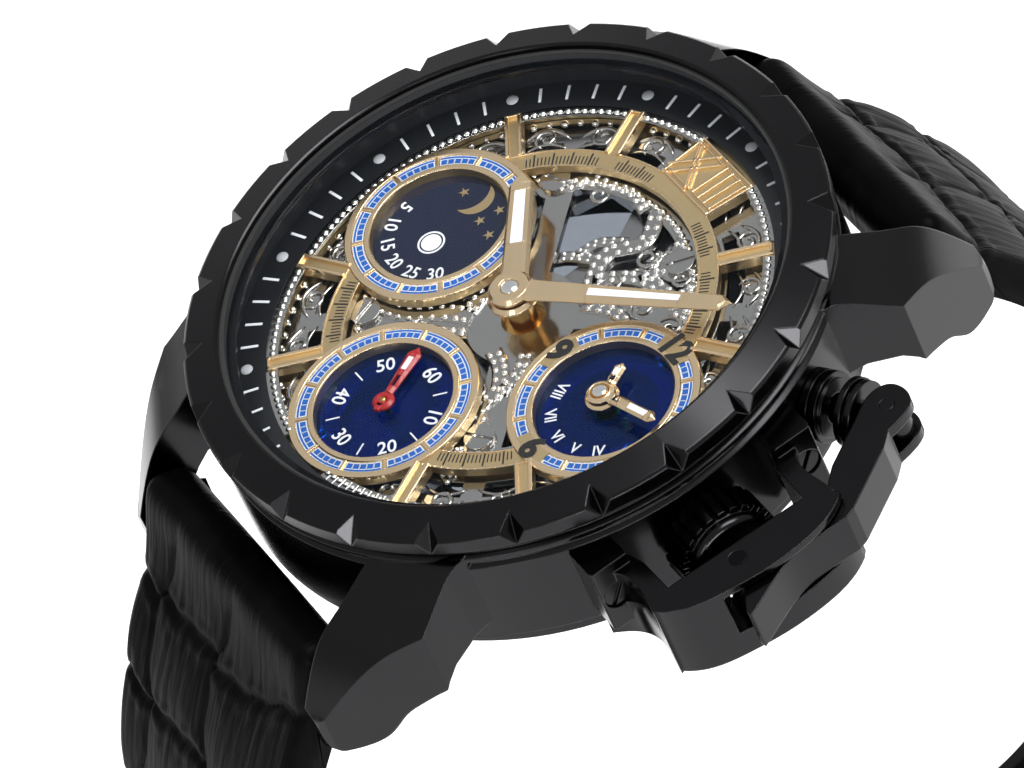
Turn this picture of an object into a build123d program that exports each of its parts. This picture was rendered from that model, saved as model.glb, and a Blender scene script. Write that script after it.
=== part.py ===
from build123d import *
import os
from math import cos, sin, pi, radians, degrees, sqrt, atan2

os.makedirs("parts", exist_ok=True)

# ---------------------------------------------------------------------------
# Skeleton wristwatch. Millimetres. Origin at the centre of the case back's
# outer face, +Z out through the dial, +X towards the crown (3 o'clock),
# +Y towards 12 o'clock.
# ---------------------------------------------------------------------------

# case
CASE_R = 21.5            # mid-case outer radius
BORE_R = 19.6            # mid-case bore
CASE_Z0 = 1.3            # mid-case bottom
CASE_Z1 = 10.4           # mid-case top, bezel seat
BEZEL_R = 21.8
BEZEL_IN = 19.25
FLANGE_R = 18.35         # crystal seat
GLASS_R = 18.95
GLASS_Z0, GLASS_Z1 = 11.6, 12.5
BACK_WIN = 15.6          # display window in the case back
NOTCHES = 24
LUG_IN = 11.2            # half the gap between lugs (22 mm strap)
STRAP_W = 21.8
BAR_Y, BAR_Z = 23.4, 1.7   # spring bar axis
BAR_R = 0.75
# dial
RING_Z = 9.0             # top of the chapter ring and of the dial frame's rings
CHAP_IN, CHAP_OUT = 17.16, 19.56
GRAD_IN, GRAD_OUT = 12.0, 13.42
SUB_OUT, SUB_IN = 6.49, 4.73
MOON_C = (-10.34, -0.1)
SEC_C = (0.0, -10.67)
DUAL_C = (11.0, -0.1)
DISC_Z0, DISC_Z1 = 8.05, 8.3
# movement levels
PLATE_R = 17.3
FRONT_Z0, FRONT_Z1 = 7.45, 7.95
MAIN_Z0, MAIN_Z1 = 5.9, 6.8
BRIDGE_Z0, BRIDGE_Z1 = 2.2, 3.1
STEM_Z = 5.26
# crown group
CROWN_X0, CROWN_X1, CROWN_R = 22.3, 25.2, 3.45
GUARD_Z0, GUARD_Z1 = 1.9, 7.9
LEVER_Z0, LEVER_Z1 = 4.05, 7.25
PIVOT = (27.75, -0.55)   # trigger pivot
FORK = (23.7, 13.3)      # fork pin
PUSH_A = 29.3            # pusher direction, degrees from +X
PUSH_Z = 5.65
PUSH_TRAVEL = 1.0


def P(r, a):
    """Point at radius r and angle a in degrees from +X."""
    return (r * cos(radians(a)), r * sin(radians(a)))


def gear_pts(cx, cy, n, m, phase, add=0.75, ded=0.95, tip=0.16, root=0.48):
    """Outline of a watch gear: n narrow pointed teeth, module m, one tooth at angle phase."""
    r = n * m / 2
    ro, ri = r + add * m, r - ded * m
    pts = []
    for i in range(n):
        a = radians(phase) + 2 * pi * i / n
        s = 2 * pi / n
        for k, rad in ((-root / 2, ri), (-tip / 2, ro), (tip / 2, ro), (root / 2, ri)):
            pts.append((cx + rad * cos(a + k * s), cy + rad * sin(a + k * s)))
    return pts


def ang(p, q):
    return degrees(atan2(q[1] - p[1], q[0] - p[0]))


def dist(p, q):
    return sqrt((p[0] - q[0]) ** 2 + (p[1] - q[1]) ** 2)


def mesh_phase(p, phase_p, n_p, q, n_q):
    """Phase of gear q so that it meshes with gear p."""
    a = ang(p, q)
    frac = ((a - phase_p) / (360 / n_p)) % 1.0       # where p's tooth lies at the contact
    return a + 180 + (0.5 + frac) * (360 / n_q)


def third_point(p, q, rp, rq, side):
    """Centre at distance rp from p and rq from q."""
    d = dist(p, q)
    a = (rp ** 2 - rq ** 2 + d ** 2) / (2 * d)
    h = sqrt(rp ** 2 - a ** 2)
    ux, uy = (q[0] - p[0]) / d, (q[1] - p[1]) / d
    return (p[0] + a * ux - side * h * uy, p[1] + a * uy + side * h * ux)


def save(part, name):
    part.part.label = name
    export_step(part.part, f"parts/{name}.step")


# ---------------------------------------------------------------------------
# gear train layout (teeth, modules, centres)
# ---------------------------------------------------------------------------
C0 = (0.0, 0.0)
M1, M2, M3, MB = 0.14, 0.15, 0.12, 0.16
N_CENTRE, N_P3 = 75, 10
N_THIRD, N_P4 = 64, 8
N_FOURTH, N_PE = 70, 7
N_BARREL, N_PC = 72, 12
THIRD = third_point(C0, SEC_C, M1 * 85 / 2, M2 * 72 / 2, 1)
BARREL = P(MB * 84 / 2, 50)
ESC = third_point(SEC_C, C0, M3 * 77 / 2, 13.3, 1)
MR = 0.2                                     # winding gears
N_RATCHET, N_CROWNW = 40, 24
CROWNW = (8.12, 0.0)
CLICK = (BARREL[0] + 5.2 * cos(radians(100)), BARREL[1] + 5.2 * sin(radians(100)))
PALLET = (ESC[0] - 2.2, ESC[1] + 1.95)
BALANCE = (-10.2, -6.9)
# motion works
MI = 0.13
N_DRIVE, N_IDLER = 40, 50
D_I = MI * 90 / 2
IDLER = third_point(C0, DUAL_C, D_I, D_I, -1)
MW = 0.15
N_CAN, N_MW = 12, 36
MMW_D = MW * 48 / 2
MH = MMW_D * 2 / 50
N_MP, N_HW = 10, 40
MMW = P(MMW_D, 215)
DMW = (DUAL_C[0] + MMW_D * cos(radians(-60)), DUAL_C[1] + MMW_D * sin(radians(-60)))

# phases, so that every pair is in mesh at rest
ph_centre = 0.0
ph_p3 = mesh_phase(C0, ph_centre, N_CENTRE, THIRD, N_P3)
ph_third = 0.0
ph_p4 = mesh_phase(THIRD, ph_third, N_THIRD, SEC_C, N_P4)
ph_fourth = 0.0
ph_pe = mesh_phase(SEC_C, ph_fourth, N_FOURTH, ESC, N_PE)
ph_pc = 0.0
ph_barrel = mesh_phase(C0, ph_pc, N_PC, BARREL, N_BARREL)
ph_drive = 0.0
ph_idler = mesh_phase(C0, ph_drive, N_DRIVE, IDLER, N_IDLER)
ph_ddrive = mesh_phase(IDLER, ph_idler, N_IDLER, DUAL_C, N_DRIVE)
ph_can = 0.0
ph_mmw = mesh_phase(C0, ph_can, N_CAN, MMW, N_MW)
ph_mp = 0.0
ph_hw = mesh_phase(MMW, ph_mp, N_MP, C0, N_HW)
ph_dmw = mesh_phase(DUAL_C, ph_can, N_CAN, DMW, N_MW)
ph_dhw = mesh_phase(DMW, ph_mp, N_MP, DUAL_C, N_HW)
ph_ratchet = 0.0
ph_crownw = mesh_phase(BARREL, ph_ratchet, N_RATCHET, CROWNW, N_CROWNW)

# ---------------------------------------------------------------------------
# case middle with four faceted lugs
# ---------------------------------------------------------------------------
LUG_S = 26.5                                # lug surfaces run across this direction
S_DIR = Vector(sin(radians(LUG_S)), cos(radians(LUG_S)), 0)
T_DIR = Vector(cos(radians(LUG_S)), -sin(radians(LUG_S)), 0)

with BuildPart() as lug_one:
    with BuildSketch(Plane.XY.offset(-4)):
        with BuildLine():
            Polyline((LUG_IN, 12.5), (16.1, 12.5), (16.55, 15.4), (17.32, 18.7),
                     (12.65, 25.9), (12.2, 26.35), (LUG_IN, 26.35), close=True)
        make_face()
    extrude(amount=16)
    with BuildSketch(Plane(origin=(0, 0, 0), x_dir=S_DIR, z_dir=T_DIR)):
        # local x is the running direction, local y is up
        with BuildLine():
            l1 = Line((14.0, 10.25), (19.6, 9.95))
            l2 = Spline((19.6, 9.95), (21.3, 9.37), (22.14, 8.78), (24.5, 6.97), (25.52, 6.25), (26.7, 4.85),
                        (27.5, 3.5), (28.35, 1.85), (28.8, 0.97), (29.05, -0.3),
                        tangents=((1, -0.15), (0.1, -1)))
            l3 = Polyline((29.05, -0.3), (28.95, -1.85), (28.7, -2.35))
            l4 = Spline((28.7, -2.35), (27.9, -2.22), (27.2, -1.82), (26.0, 0.25), (25.3, 1.0), (24.8, 1.45),
                        (24.1, 2.15), tangents=((-1, 0.05), (-0.6, 0.8)))
            l5 = Polyline((24.1, 2.15), (23.2, 2.9), (21.0, 3.6), (14.0, 3.6), (14.0, 10.25))
        make_face()
    extrude(amount=60, both=True, mode=Mode.INTERSECT)
    fillet(lug_one.edges().filter_by(lambda e: e.center().Z < -1.4).filter_by(lambda e: e.length > 1.0), radius=0.25)

with BuildPart() as case_middle:
    with BuildSketch(Plane.XZ):
        with BuildLine():
            Polyline((BORE_R, CASE_Z0), (20.8, CASE_Z0), (CASE_R, 2.1), (CASE_R, 8.75), (21.15, 9.0), (21.15, 9.3),
                     (CASE_R, 9.45), (CASE_R, 9.75), (21.1, 10.0), (21.1, CASE_Z1), (BORE_R, CASE_Z1), close=True)
        make_face()
    revolve(axis=Axis.Z)
    add(lug_one.part)
    add(lug_one.part.mirror(Plane.YZ))
    add(lug_one.part.mirror(Plane.XZ))
    add(lug_one.part.mirror(Plane.XZ).mirror(Plane.YZ))
    # bore and the space above the mid-case left clear for the bezel
    with BuildSketch(Plane.XY.offset(-5)):
        Circle(BORE_R)
    extrude(amount=20, mode=Mode.SUBTRACT)
    with BuildSketch(Plane.XZ):
        with BuildLine():
            Polyline((20.5, 10.4), (21.12, 10.4), (21.12, 10.0), (CASE_R + 0.05, 9.8), (CASE_R + 0.5, 9.8),
                     (CASE_R + 0.5, 14), (20.5, 14), close=True)
        make_face()
    revolve(axis=Axis.Z, mode=Mode.SUBTRACT)
    # spring bar holes, crown tube hole, pusher tube hole, guard screw holes
    for s in (1, -1):
        with BuildSketch(Plane(origin=(-12.4, s * BAR_Y, BAR_Z), x_dir=(0, 1, 0), z_dir=(1, 0, 0))):
            Circle(0.46)
        extrude(amount=24.8, mode=Mode.SUBTRACT)
    with BuildSketch(Plane(origin=(18, 0, STEM_Z), x_dir=(0, 1, 0), z_dir=(1, 0, 0))):
        Circle(1.4)
    extrude(amount=6, mode=Mode.SUBTRACT)
    pd = Vector(cos(radians(PUSH_A)), sin(radians(PUSH_A)), 0)
    with BuildSketch(Plane(origin=pd * 18 + Vector(0, 0, PUSH_Z), x_dir=(-pd.Y, pd.X, 0), z_dir=pd)):
        Circle(1.5)
    extrude(amount=6, mode=Mode.SUBTRACT)
    for s in (1, -1):
        with BuildSketch(Plane(origin=(19.0, s * 7.25, 6.0), x_dir=(0, 1, 0), z_dir=(1, 0, 0))):
            Circle(0.5)
        extrude(amount=4, mode=Mode.SUBTRACT)
save(case_middle, "case_middle")

# ---------------------------------------------------------------------------
# bezel with V notches, crystal, gaskets
# ---------------------------------------------------------------------------
with BuildPart() as bezel:
    with BuildSketch(Plane.XZ):
        with BuildLine():
            Polyline((FLANGE_R, 11.2), (FLANGE_R, GLASS_Z0), (BEZEL_IN, GLASS_Z0), (BEZEL_IN, 12.58), (19.42, 12.68),
                     (21.6, 12.02), (BEZEL_R, 11.85), (BEZEL_R, 10.85), (21.45, CASE_Z1), (19.62, CASE_Z1),
                     (19.62, 11.2), close=True)
        make_face()
    revolve(axis=Axis.Z)
    v = Vector(0.675, 0, -0.738)
    for i in range(NOTCHES):
        a = 360 * i / NOTCHES
        o = Vector(20.35, 0, 12.40).rotate(Axis.Z, a)
        pl = Plane(origin=o, x_dir=Vector(0, 1, 0).rotate(Axis.Z, a), z_dir=v.rotate(Axis.Z, a))
        with BuildSketch(pl.offset(-1)):
            with BuildLine():
                Polyline((0, 0), (2.3, 2.0), (-2.3, 2.0), close=True)
            make_face()
        extrude(amount=4.5, mode=Mode.SUBTRACT)
save(bezel, "bezel")

with BuildPart() as crystal:
    with BuildSketch(Plane.XZ):
        with BuildLine():
            Polyline((0, GLASS_Z0), (GLASS_R, GLASS_Z0), (GLASS_R, 12.3), (17.95, GLASS_Z1), (0, GLASS_Z1), close=True)
        make_face()
    revolve(axis=Axis.Z)
save(crystal, "crystal")

# ---------------------------------------------------------------------------
# case back
# ---------------------------------------------------------------------------
with BuildPart() as case_back:
    with BuildSketch(Plane.XZ):
        with BuildLine():
            Polyline((BACK_WIN, 0.0), (20.1, 0.0), (20.5, 0.4), (20.5, CASE_Z0), (19.2, CASE_Z0), (19.2, 2.0), (18.0, 2.0),
                     (18.0, CASE_Z0), (16.3, 1.15), (16.3, 0.25), (BACK_WIN, 0.25), close=True)
        make_face()
    revolve(axis=Axis.Z)
    with PolarLocations(19.9, 6):
        Box(1.3, 2.0, 1.6, mode=Mode.SUBTRACT)
save(case_back, "case_back")

with BuildPart() as case_back_glass:
    with BuildSketch(Plane.XY.offset(0.25)):
        Circle(16.3)
    extrude(amount=0.9)
save(case_back_glass, "case_back_glass")

# crystal gasket and case back gasket
with BuildPart() as gaskets:
    with BuildSketch(Plane.XY.offset(GLASS_Z0)):
        Circle(BEZEL_IN)
        Circle(GLASS_R, mode=Mode.SUBTRACT)
    extrude(amount=0.6)
    with BuildSketch(Plane.XY.offset(CASE_Z0)):
        Circle(BORE_R)
        Circle(19.2, mode=Mode.SUBTRACT)
    extrude(amount=0.6)
save(gaskets, "gaskets")

# ---------------------------------------------------------------------------
# inside: holder ring, chapter ring, dial frame, discs
# ---------------------------------------------------------------------------
with BuildPart() as movement_holder:
    with BuildSketch(Plane.XY.offset(2.2)):
        Circle(19.5)
        Circle(17.4, mode=Mode.SUBTRACT)
    extrude(amount=8.0 - 2.2)
    with BuildSketch(Plane(origin=(16.5, 0, STEM_Z), x_dir=(0, 1, 0), z_dir=(1, 0, 0))):
        Circle(0.8)
    extrude(amount=4, mode=Mode.SUBTRACT)
    with BuildSketch(Plane(origin=pd * 16.5 + Vector(0, 0, PUSH_Z), x_dir=(-pd.Y, pd.X, 0), z_dir=pd)):
        Circle(0.8)
    extrude(amount=4, mode=Mode.SUBTRACT)
    with BuildSketch(Plane.XY.offset(5.8)):
        Circle(17.6)
    extrude(amount=1.1, mode=Mode.SUBTRACT)
save(movement_holder, "movement_holder")

with BuildPart() as chapter_ring:
    with BuildSketch(Plane.XZ):
        with BuildLine():
            Polyline((CHAP_IN, 8.5), (CHAP_OUT, 8.5), (CHAP_OUT, 11.15), (19.36, 11.15), (19.36, RING_Z),
                     (CHAP_IN, RING_Z), close=True)
        make_face()
    revolve(axis=Axis.Z)
save(chapter_ring, "chapter_ring")

BARS = (30, 60, 120, 150, 210, 240, 300, 330)      # clock angles of the hour bars
with BuildPart() as dial_frame:
    with BuildSketch(Plane.XY.offset(DISC_Z1)):
        Circle(GRAD_OUT)
        Circle(GRAD_IN, mode=Mode.SUBTRACT)
        for c in (MOON_C, SEC_C, DUAL_C):
            with Locations(c):
                Circle(SUB_OUT)
        for c in (MOON_C, SEC_C, DUAL_C):
            with Locations(c):
                Circle(SUB_IN, mode=Mode.SUBTRACT)
        for a in BARS:
            with Locations(P(15.2, 90 - a)):
                Rectangle(4.0, 1.15, rotation=90 - a)
        with BuildLine():
            Polyline((-2.75, 12.9), (2.75, 12.9), (3.1, 16.75), (-3.1, 16.75), close=True)
        make_face()
        Circle(17.1, mode=Mode.INTERSECT)
    extrude(amount=RING_Z - DISC_Z1 - 0.08)
    # the hidden ring that joins the bars under the chapter ring
    with BuildSketch(Plane.XY.offset(8.0)):
        Circle(19.4)
        Circle(16.95, mode=Mode.SUBTRACT)
        with Locations(DUAL_C, MOON_C, SEC_C):
            Circle(5.8, mode=Mode.SUBTRACT)
    extrude(amount=0.45)
    # raised rims of the three subdial rings and of the hour bars
    with BuildSketch(Plane.XY.offset(RING_Z - 0.08)):
        for c in (MOON_C, SEC_C, DUAL_C):
            with Locations(c):
                Circle(SUB_OUT)
                Circle(5.95, mode=Mode.SUBTRACT)
        for c in (MOON_C, SEC_C, DUAL_C):
            with Locations(c):
                Circle(5.16)
                Circle(SUB_IN, mode=Mode.SUBTRACT)
        Circle(17.1, mode=Mode.INTERSECT)
    extrude(amount=0.08)
save(dial_frame, "dial_frame")

for nm, c, hole in (("moon_disc", MOON_C, 0.0), ("seconds_disc", SEC_C, 0.75), ("dual_time_disc", DUAL_C, 1.15)):
    with BuildPart() as disc:
        with BuildSketch(Plane.XY.offset(DISC_Z0)):
            with Locations(c):
                Circle(5.6)
                if hole:
                    Circle(hole, mode=Mode.SUBTRACT)
        extrude(amount=DISC_Z1 - DISC_Z0)
    save(disc, nm)

# ---------------------------------------------------------------------------
# skeletonised front plate, mainplate and bridges
# ---------------------------------------------------------------------------
FRONT_SCREWS = ((-8.5, 7.8), (4.06, 9.9), (-8.3, -7.45), (6.8, -7.5))
with BuildPart() as front_plate:
    with BuildSketch(Plane.XY.offset(FRONT_Z0)):
        Circle(PLATE_R)
        Circle(14.9, mode=Mode.SUBTRACT)
        for a in (-75, -45, -15, 15, 45, 75, 105, 135, 165, 195, 225, 255):
            with Locations(P(14.3, a)):
                Rectangle(2.4, 1.5, rotation=a)
        Circle(13.7)
        Circle(10.9, mode=Mode.SUBTRACT)
        Circle(3.9)
        for a, w, l in ((45, 2.2, 10.0), (135, 1.8, 10.0), (222, 2.6, 10.0), (-46, 2.6, 10.0)):
            with Locations(P(7.0, a)):
                Rectangle(l, w, rotation=a)
        for p in FRONT_SCREWS:
            with Locations(p):
                Circle(1.5)
        for c in (MOON_C, SEC_C, DUAL_C):
            with Locations(c):
                Circle(6.3)
        for c in (SEC_C, DUAL_C):
            with Locations(c):
                Circle(3.4, mode=Mode.SUBTRACT)
        for c in (MOON_C,):
            with Locations(c):
                Circle(4.0, mode=Mode.SUBTRACT)
        Circle(1.5, mode=Mode.SUBTRACT)
        for p in FRONT_SCREWS:
            with Locations(p):
                Circle(0.45, mode=Mode.SUBTRACT)
        Circle(PLATE_R, mode=Mode.INTERSECT)
    extrude(amount=FRONT_Z1 - FRONT_Z0)
    # posts that stand on the mainplate
    with BuildSketch(Plane.XY.offset(MAIN_Z1)):
        for p in FRONT_SCREWS:
            with Locations(p):
                Circle(1.3)
                Circle(0.45, mode=Mode.SUBTRACT)
    extrude(amount=FRONT_Z0 - MAIN_Z1)
save(front_plate, "front_plate")

BRIDGE_POSTS = (P(15.2, 95), P(15.4, 8), P(14.6, -62), P(16.0, -124))
with BuildPart() as mainplate:
    with BuildSketch(Plane.XY.offset(MAIN_Z0)):
        Circle(PLATE_R)
        # the large window between 9 and 12 o'clock, and smaller ones
        with BuildLine():
            Polyline((-2.0, 2.6), (-2.2, 8.5), (-3.6, 10.6), (-6.4, 10.2), (-6.9, 7.6), (-8.6, 6.2), (-8.9, 3.9), (-5.5, 1.6), close=True)
        make_face(mode=Mode.SUBTRACT)
        with Locations((8.6, -11.2)):
            Circle(2.4, mode=Mode.SUBTRACT)
        with Locations((-7.4, -3.0)):
            Circle(2.0, mode=Mode.SUBTRACT)
        with Locations((8.2, 11.4)):
            Circle(2.3, mode=Mode.SUBTRACT)
        with Locations((12.8, 0.0)):
            Rectangle(9.8, 3.6, mode=Mode.SUBTRACT)
        # pivot jewel seats
        for p in (C0, THIRD, SEC_C, ESC, PALLET, BALANCE, BARREL):
            with Locations(p):
                Circle(0.7, mode=Mode.SUBTRACT)
        for p in FRONT_SCREWS:
            with Locations(p):
                Circle(0.45, mode=Mode.SUBTRACT)
    extrude(amount=MAIN_Z1 - MAIN_Z0)
    # studs for the motion works
    with BuildSketch(Plane.XY.offset(MAIN_Z1)):
        with Locations(IDLER, MMW, DMW):
            Circle(0.25)
    extrude(amount=0.62)
    with BuildSketch(Plane.XY.offset(MAIN_Z1)):
        with Locations(DUAL_C):
            Circle(0.3)
    extrude(amount=3.0)
    # a bridge from rim to the dual-time post keeps it seated beside the keyless slot
    with BuildSketch(Plane.XY.offset(6.62)):
        with Locations((DUAL_C[0], 0.0)):
            Rectangle(1.8, 4.0)
    extrude(amount=MAIN_Z1 - 6.62)
save(mainplate, "mainplate")

with BuildPart() as train_bridge:
    with BuildSketch(Plane.XY.offset(BRIDGE_Z0)):
        with BuildLine():
            Polyline((-3.0, 1.6), (2.2, 1.8), (4.2, -3.0), (8.2, -10.2), (8.6, -14.2), (1.0, -16.2), (-8.4, -14.8), (-10.2, -13.2), (-9.6, -11.6), (-7.6, -9.4), (-5.4, -7.8), close=True)
        make_face()
        with Locations((3.9, -8.4)):
            Circle(1.7, mode=Mode.SUBTRACT)
        with Locations((-2.9, -9.6)):
            Circle(1.2, mode=Mode.SUBTRACT)
        for p in (C0, THIRD, SEC_C, ESC, PALLET):
            with Locations(p):
                Circle(0.7, mode=Mode.SUBTRACT)
    extrude(amount=BRIDGE_Z1 - BRIDGE_Z0)
    with BuildSketch(Plane.XY.offset(BRIDGE_Z0)):
        with Locations(BRIDGE_POSTS[2], BRIDGE_POSTS[3]):
            Circle(1.2)
    extrude(amount=MAIN_Z0 - BRIDGE_Z0)
    with BuildSketch(Plane.XY.offset(BRIDGE_Z0)):
        with Locations(BRIDGE_POSTS[2], BRIDGE_POSTS[3]):
            Circle(0.45)
    extrude(amount=1.4, mode=Mode.SUBTRACT)
save(train_bridge, "train_bridge")

with BuildPart() as barrel_bridge:
    with BuildSketch(Plane.XY.offset(BRIDGE_Z0)):
        with BuildLine():
            Polyline((-1.9, 15.9), (-0.9, 3.6), (3.4, 2.6), (6.4, -0.4), (8.1, -1.3), (9.8, -0.9), (16.4, 0.4), (15.8, 6.0), (10.6, 11.6), (5.0, 15.3), close=True)
        make_face()
        with Locations((0.9, 11.2)):
            Circle(1.5, mode=Mode.SUBTRACT)
        for p in (BARREL, CROWNW):
            with Locations(p):
                Circle(0.7, mode=Mode.SUBTRACT)
    extrude(amount=BRIDGE_Z1 - BRIDGE_Z0)
    with BuildSketch(Plane.XY.offset(BRIDGE_Z0)):
        with Locations(BRIDGE_POSTS[0], BRIDGE_POSTS[1]):
            Circle(1.2)
    extrude(amount=MAIN_Z0 - BRIDGE_Z0)
    with BuildSketch(Plane.XY.offset(BRIDGE_Z0)):
        with Locations(BRIDGE_POSTS[0], BRIDGE_POSTS[1]):
            Circle(0.45)
    extrude(amount=1.4, mode=Mode.SUBTRACT)
    # headed post that carries the click
    with BuildSketch(Plane.XY.offset(BRIDGE_Z1)):
        with Locations(CLICK):
            Circle(0.2)
    extrude(amount=0.6)
    with BuildSketch(Plane.XY.offset(3.64)):
        with Locations(CLICK):
            Circle(0.4)
    extrude(amount=0.08)
save(barrel_bridge, "barrel_bridge")

with BuildPart() as balance_cock:
    with BuildSketch(Plane.XY.offset(BRIDGE_Z0)):
        with BuildLine():
            Polyline((-15.6, -3.4), (-16.4, -5.6), (-14.2, -8.8), (-9.6, -8.4), (-8.6, -6.6), (-9.6, -5.2), (-13.0, -3.4), close=True)
        make_face()
        with Locations(BALANCE):
            Circle(0.7, mode=Mode.SUBTRACT)
    extrude(amount=BRIDGE_Z1 - BRIDGE_Z0)
    with BuildSketch(Plane.XY.offset(BRIDGE_Z0)):
        with Locations((-15.3, -5.2)):
            Circle(1.0)
    extrude(amount=MAIN_Z0 - BRIDGE_Z0)
    with BuildSketch(Plane.XY.offset(BRIDGE_Z0)):
        with Locations((-15.3, -5.2)):
            Circle(0.45)
    extrude(amount=1.4, mode=Mode.SUBTRACT)
save(balance_cock, "balance_cock")

# jewels: ring bearings pressed into the plates
with BuildPart() as jewels:
    for z0, z1, pts in ((MAIN_Z0 + 0.2, MAIN_Z1, (THIRD, SEC_C, ESC, PALLET, BALANCE, BARREL, C0)),
                        (BRIDGE_Z0, BRIDGE_Z1 - 0.2, (C0, THIRD, SEC_C, ESC, PALLET, BARREL, CROWNW, BALANCE))):
        for p in pts:
            r = 0.2
            if p == C0 and z0 > 5:
                r = 0.46
            if p == SEC_C and z0 > 5:
                r = 0.3
            if p in (BARREL, CROWNW):
                r = 0.4
            with BuildSketch(Plane.XY.offset(z0)):
                with Locations(p):
                    Circle(0.7)
                    Circle(r, mode=Mode.SUBTRACT)
            extrude(amount=z1 - z0)
save(jewels, "jewels")


# screws of the front plate, heads towards the dial
with BuildPart() as movement_screws:
    for i, p in enumerate(FRONT_SCREWS):
        with BuildSketch(Plane.XY.offset(FRONT_Z1)):
            with Locations(p):
                Circle(1.05)
        extrude(amount=0.32)
        with BuildSketch(Plane.XY.offset(MAIN_Z0 + 0.1)):
            with Locations(p):
                Circle(0.45)
        extrude(amount=FRONT_Z1 - MAIN_Z0 - 0.1)
        with BuildSketch(Plane.XY.offset(FRONT_Z1 + 0.16)):
            with Locations(p):
                Rectangle(2.3, 0.22, rotation=(20, 65, 110, 30)[i])
        extrude(amount=0.3, mode=Mode.SUBTRACT)
    # screws of the bridges, heads towards the case back
    for i, p in enumerate((BRIDGE_POSTS[0], BRIDGE_POSTS[1], BRIDGE_POSTS[2], BRIDGE_POSTS[3], (-15.3, -5.2))):
        with BuildSketch(Plane.XY.offset(BRIDGE_Z0 - 0.35)):
            with Locations(p):
                Circle(0.9)
        extrude(amount=0.35)
        with BuildSketch(Plane.XY.offset(BRIDGE_Z0)):
            with Locations(p):
                Circle(0.45)
        extrude(amount=1.4)
        with BuildSketch(Plane.XY.offset(BRIDGE_Z0 - 0.36)):
            with Locations(p):
                Rectangle(2.2, 0.2, rotation=(10, 75, 130, 40, 100)[i])
        extrude(amount=0.16, mode=Mode.SUBTRACT)
save(movement_screws, "movement_screws")

# ---------------------------------------------------------------------------
# going train
# ---------------------------------------------------------------------------
def spokes(c, n, r_in, r_out, w, turn=0.0):
    """Windows between n spokes, as closed outlines."""
    outs = []
    for i in range(n):
        a0 = turn + 360 / n * i
        d_in, d_out = degrees(w / 2 / r_in), degrees(w / 2 / r_out)
        pts = []
        for k in range(7):
            a = a0 + d_out + (360 / n - 2 * d_out) * k / 6
            pts.append((c[0] + r_out * cos(radians(a)), c[1] + r_out * sin(radians(a))))
        for k in range(6, -1, -1):
            a = a0 + d_in + (360 / n - 2 * d_in) * k / 6
            pts.append((c[0] + r_in * cos(radians(a)), c[1] + r_in * sin(radians(a))))
        outs.append(pts)
    return outs


with BuildPart() as barrel:
    with BuildSketch(Plane.XY.offset(3.75)):
        with BuildLine():
            Polyline(*gear_pts(*BARREL, N_BARREL, MB, ph_barrel), close=True)
        make_face()
    extrude(amount=0.35)
    with BuildSketch(Plane.XY.offset(4.1)):
        with Locations(BARREL):
            Circle(5.25)
    extrude(amount=1.0)
    with BuildSketch(Plane.XY.offset(3.95)):
        with Locations(BARREL):
            Circle(4.95)
    extrude(amount=1.0, mode=Mode.SUBTRACT)
    with BuildSketch(Plane.XY.offset(3.7)):
        with Locations(BARREL):
            Circle(0.55)
    extrude(amount=1.5, mode=Mode.SUBTRACT)
save(barrel, "mainspring_barrel")

with BuildPart() as mainspring:
    turns, t = 5.0, 0.22
    inner, outer = [], []
    for k in range(int(turns * 16) + 1):
        a = 2 * pi * k / 16
        r = 1.9 + (4.6 - 1.9) * k / (turns * 16)
        inner.append((BARREL[0] + r * cos(a), BARREL[1] + r * sin(a)))
        outer.append((BARREL[0] + (r + t) * cos(a), BARREL[1] + (r + t) * sin(a)))
    with BuildSketch(Plane.XY.offset(4.05)):
        with BuildLine():
            Polyline(*inner, *outer[::-1], close=True)
        make_face()
    extrude(amount=0.75)
save(mainspring, "mainspring")

# ratchet wheel fixed on the barrel arbor
with BuildPart() as ratchet_wheel:
    for z0, z1, r in ((2.25, 3.65, 0.35), (3.65, 5.3, 0.5), (5.3, 6.6, 0.35)):
        with BuildSketch(Plane.XY.offset(z0)):
            with Locations(BARREL):
                Circle(r)
        extrude(amount=z1 - z0)
    with BuildSketch(Plane.XY.offset(3.3)):
        with BuildLine():
            Polyline(*gear_pts(*BARREL, N_RATCHET, MR, ph_ratchet), close=True)
        make_face()
    extrude(amount=0.35)
save(ratchet_wheel, "ratchet_wheel")

with BuildPart() as crown_wheel:
    with BuildSketch(Plane.XY.offset(3.3)):
        with BuildLine():
            Polyline(*gear_pts(*CROWNW, N_CROWNW, MR, ph_crownw), close=True)
        make_face()
    extrude(amount=0.35)
    with BuildSketch(Plane.XY.offset(2.3)):
        with Locations(CROWNW):
            Circle(0.35)
    extrude(amount=1.0)
save(crown_wheel, "crown_wheel")

NOSE = (BARREL[0] + 4.22 * cos(radians(122)), BARREL[1] + 4.22 * sin(radians(122)))
with BuildPart() as click:
    with BuildSketch(Plane.XY.offset(3.3)):
        with Locations(CLICK):
            Circle(0.55)
        with BuildLine():
            Polyline((CLICK[0] - 0.3, CLICK[1] + 0.4), (NOSE[0] - 0.3, NOSE[1] + 0.45), NOSE, (NOSE[0] + 0.35, NOSE[1] + 0.4),
                     (CLICK[0] + 0.1, CLICK[1] - 0.45), close=True)
        make_face()
        with Locations(CLICK):
            Circle(0.25, mode=Mode.SUBTRACT)
    extrude(amount=0.3)
save(click, "click")

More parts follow.
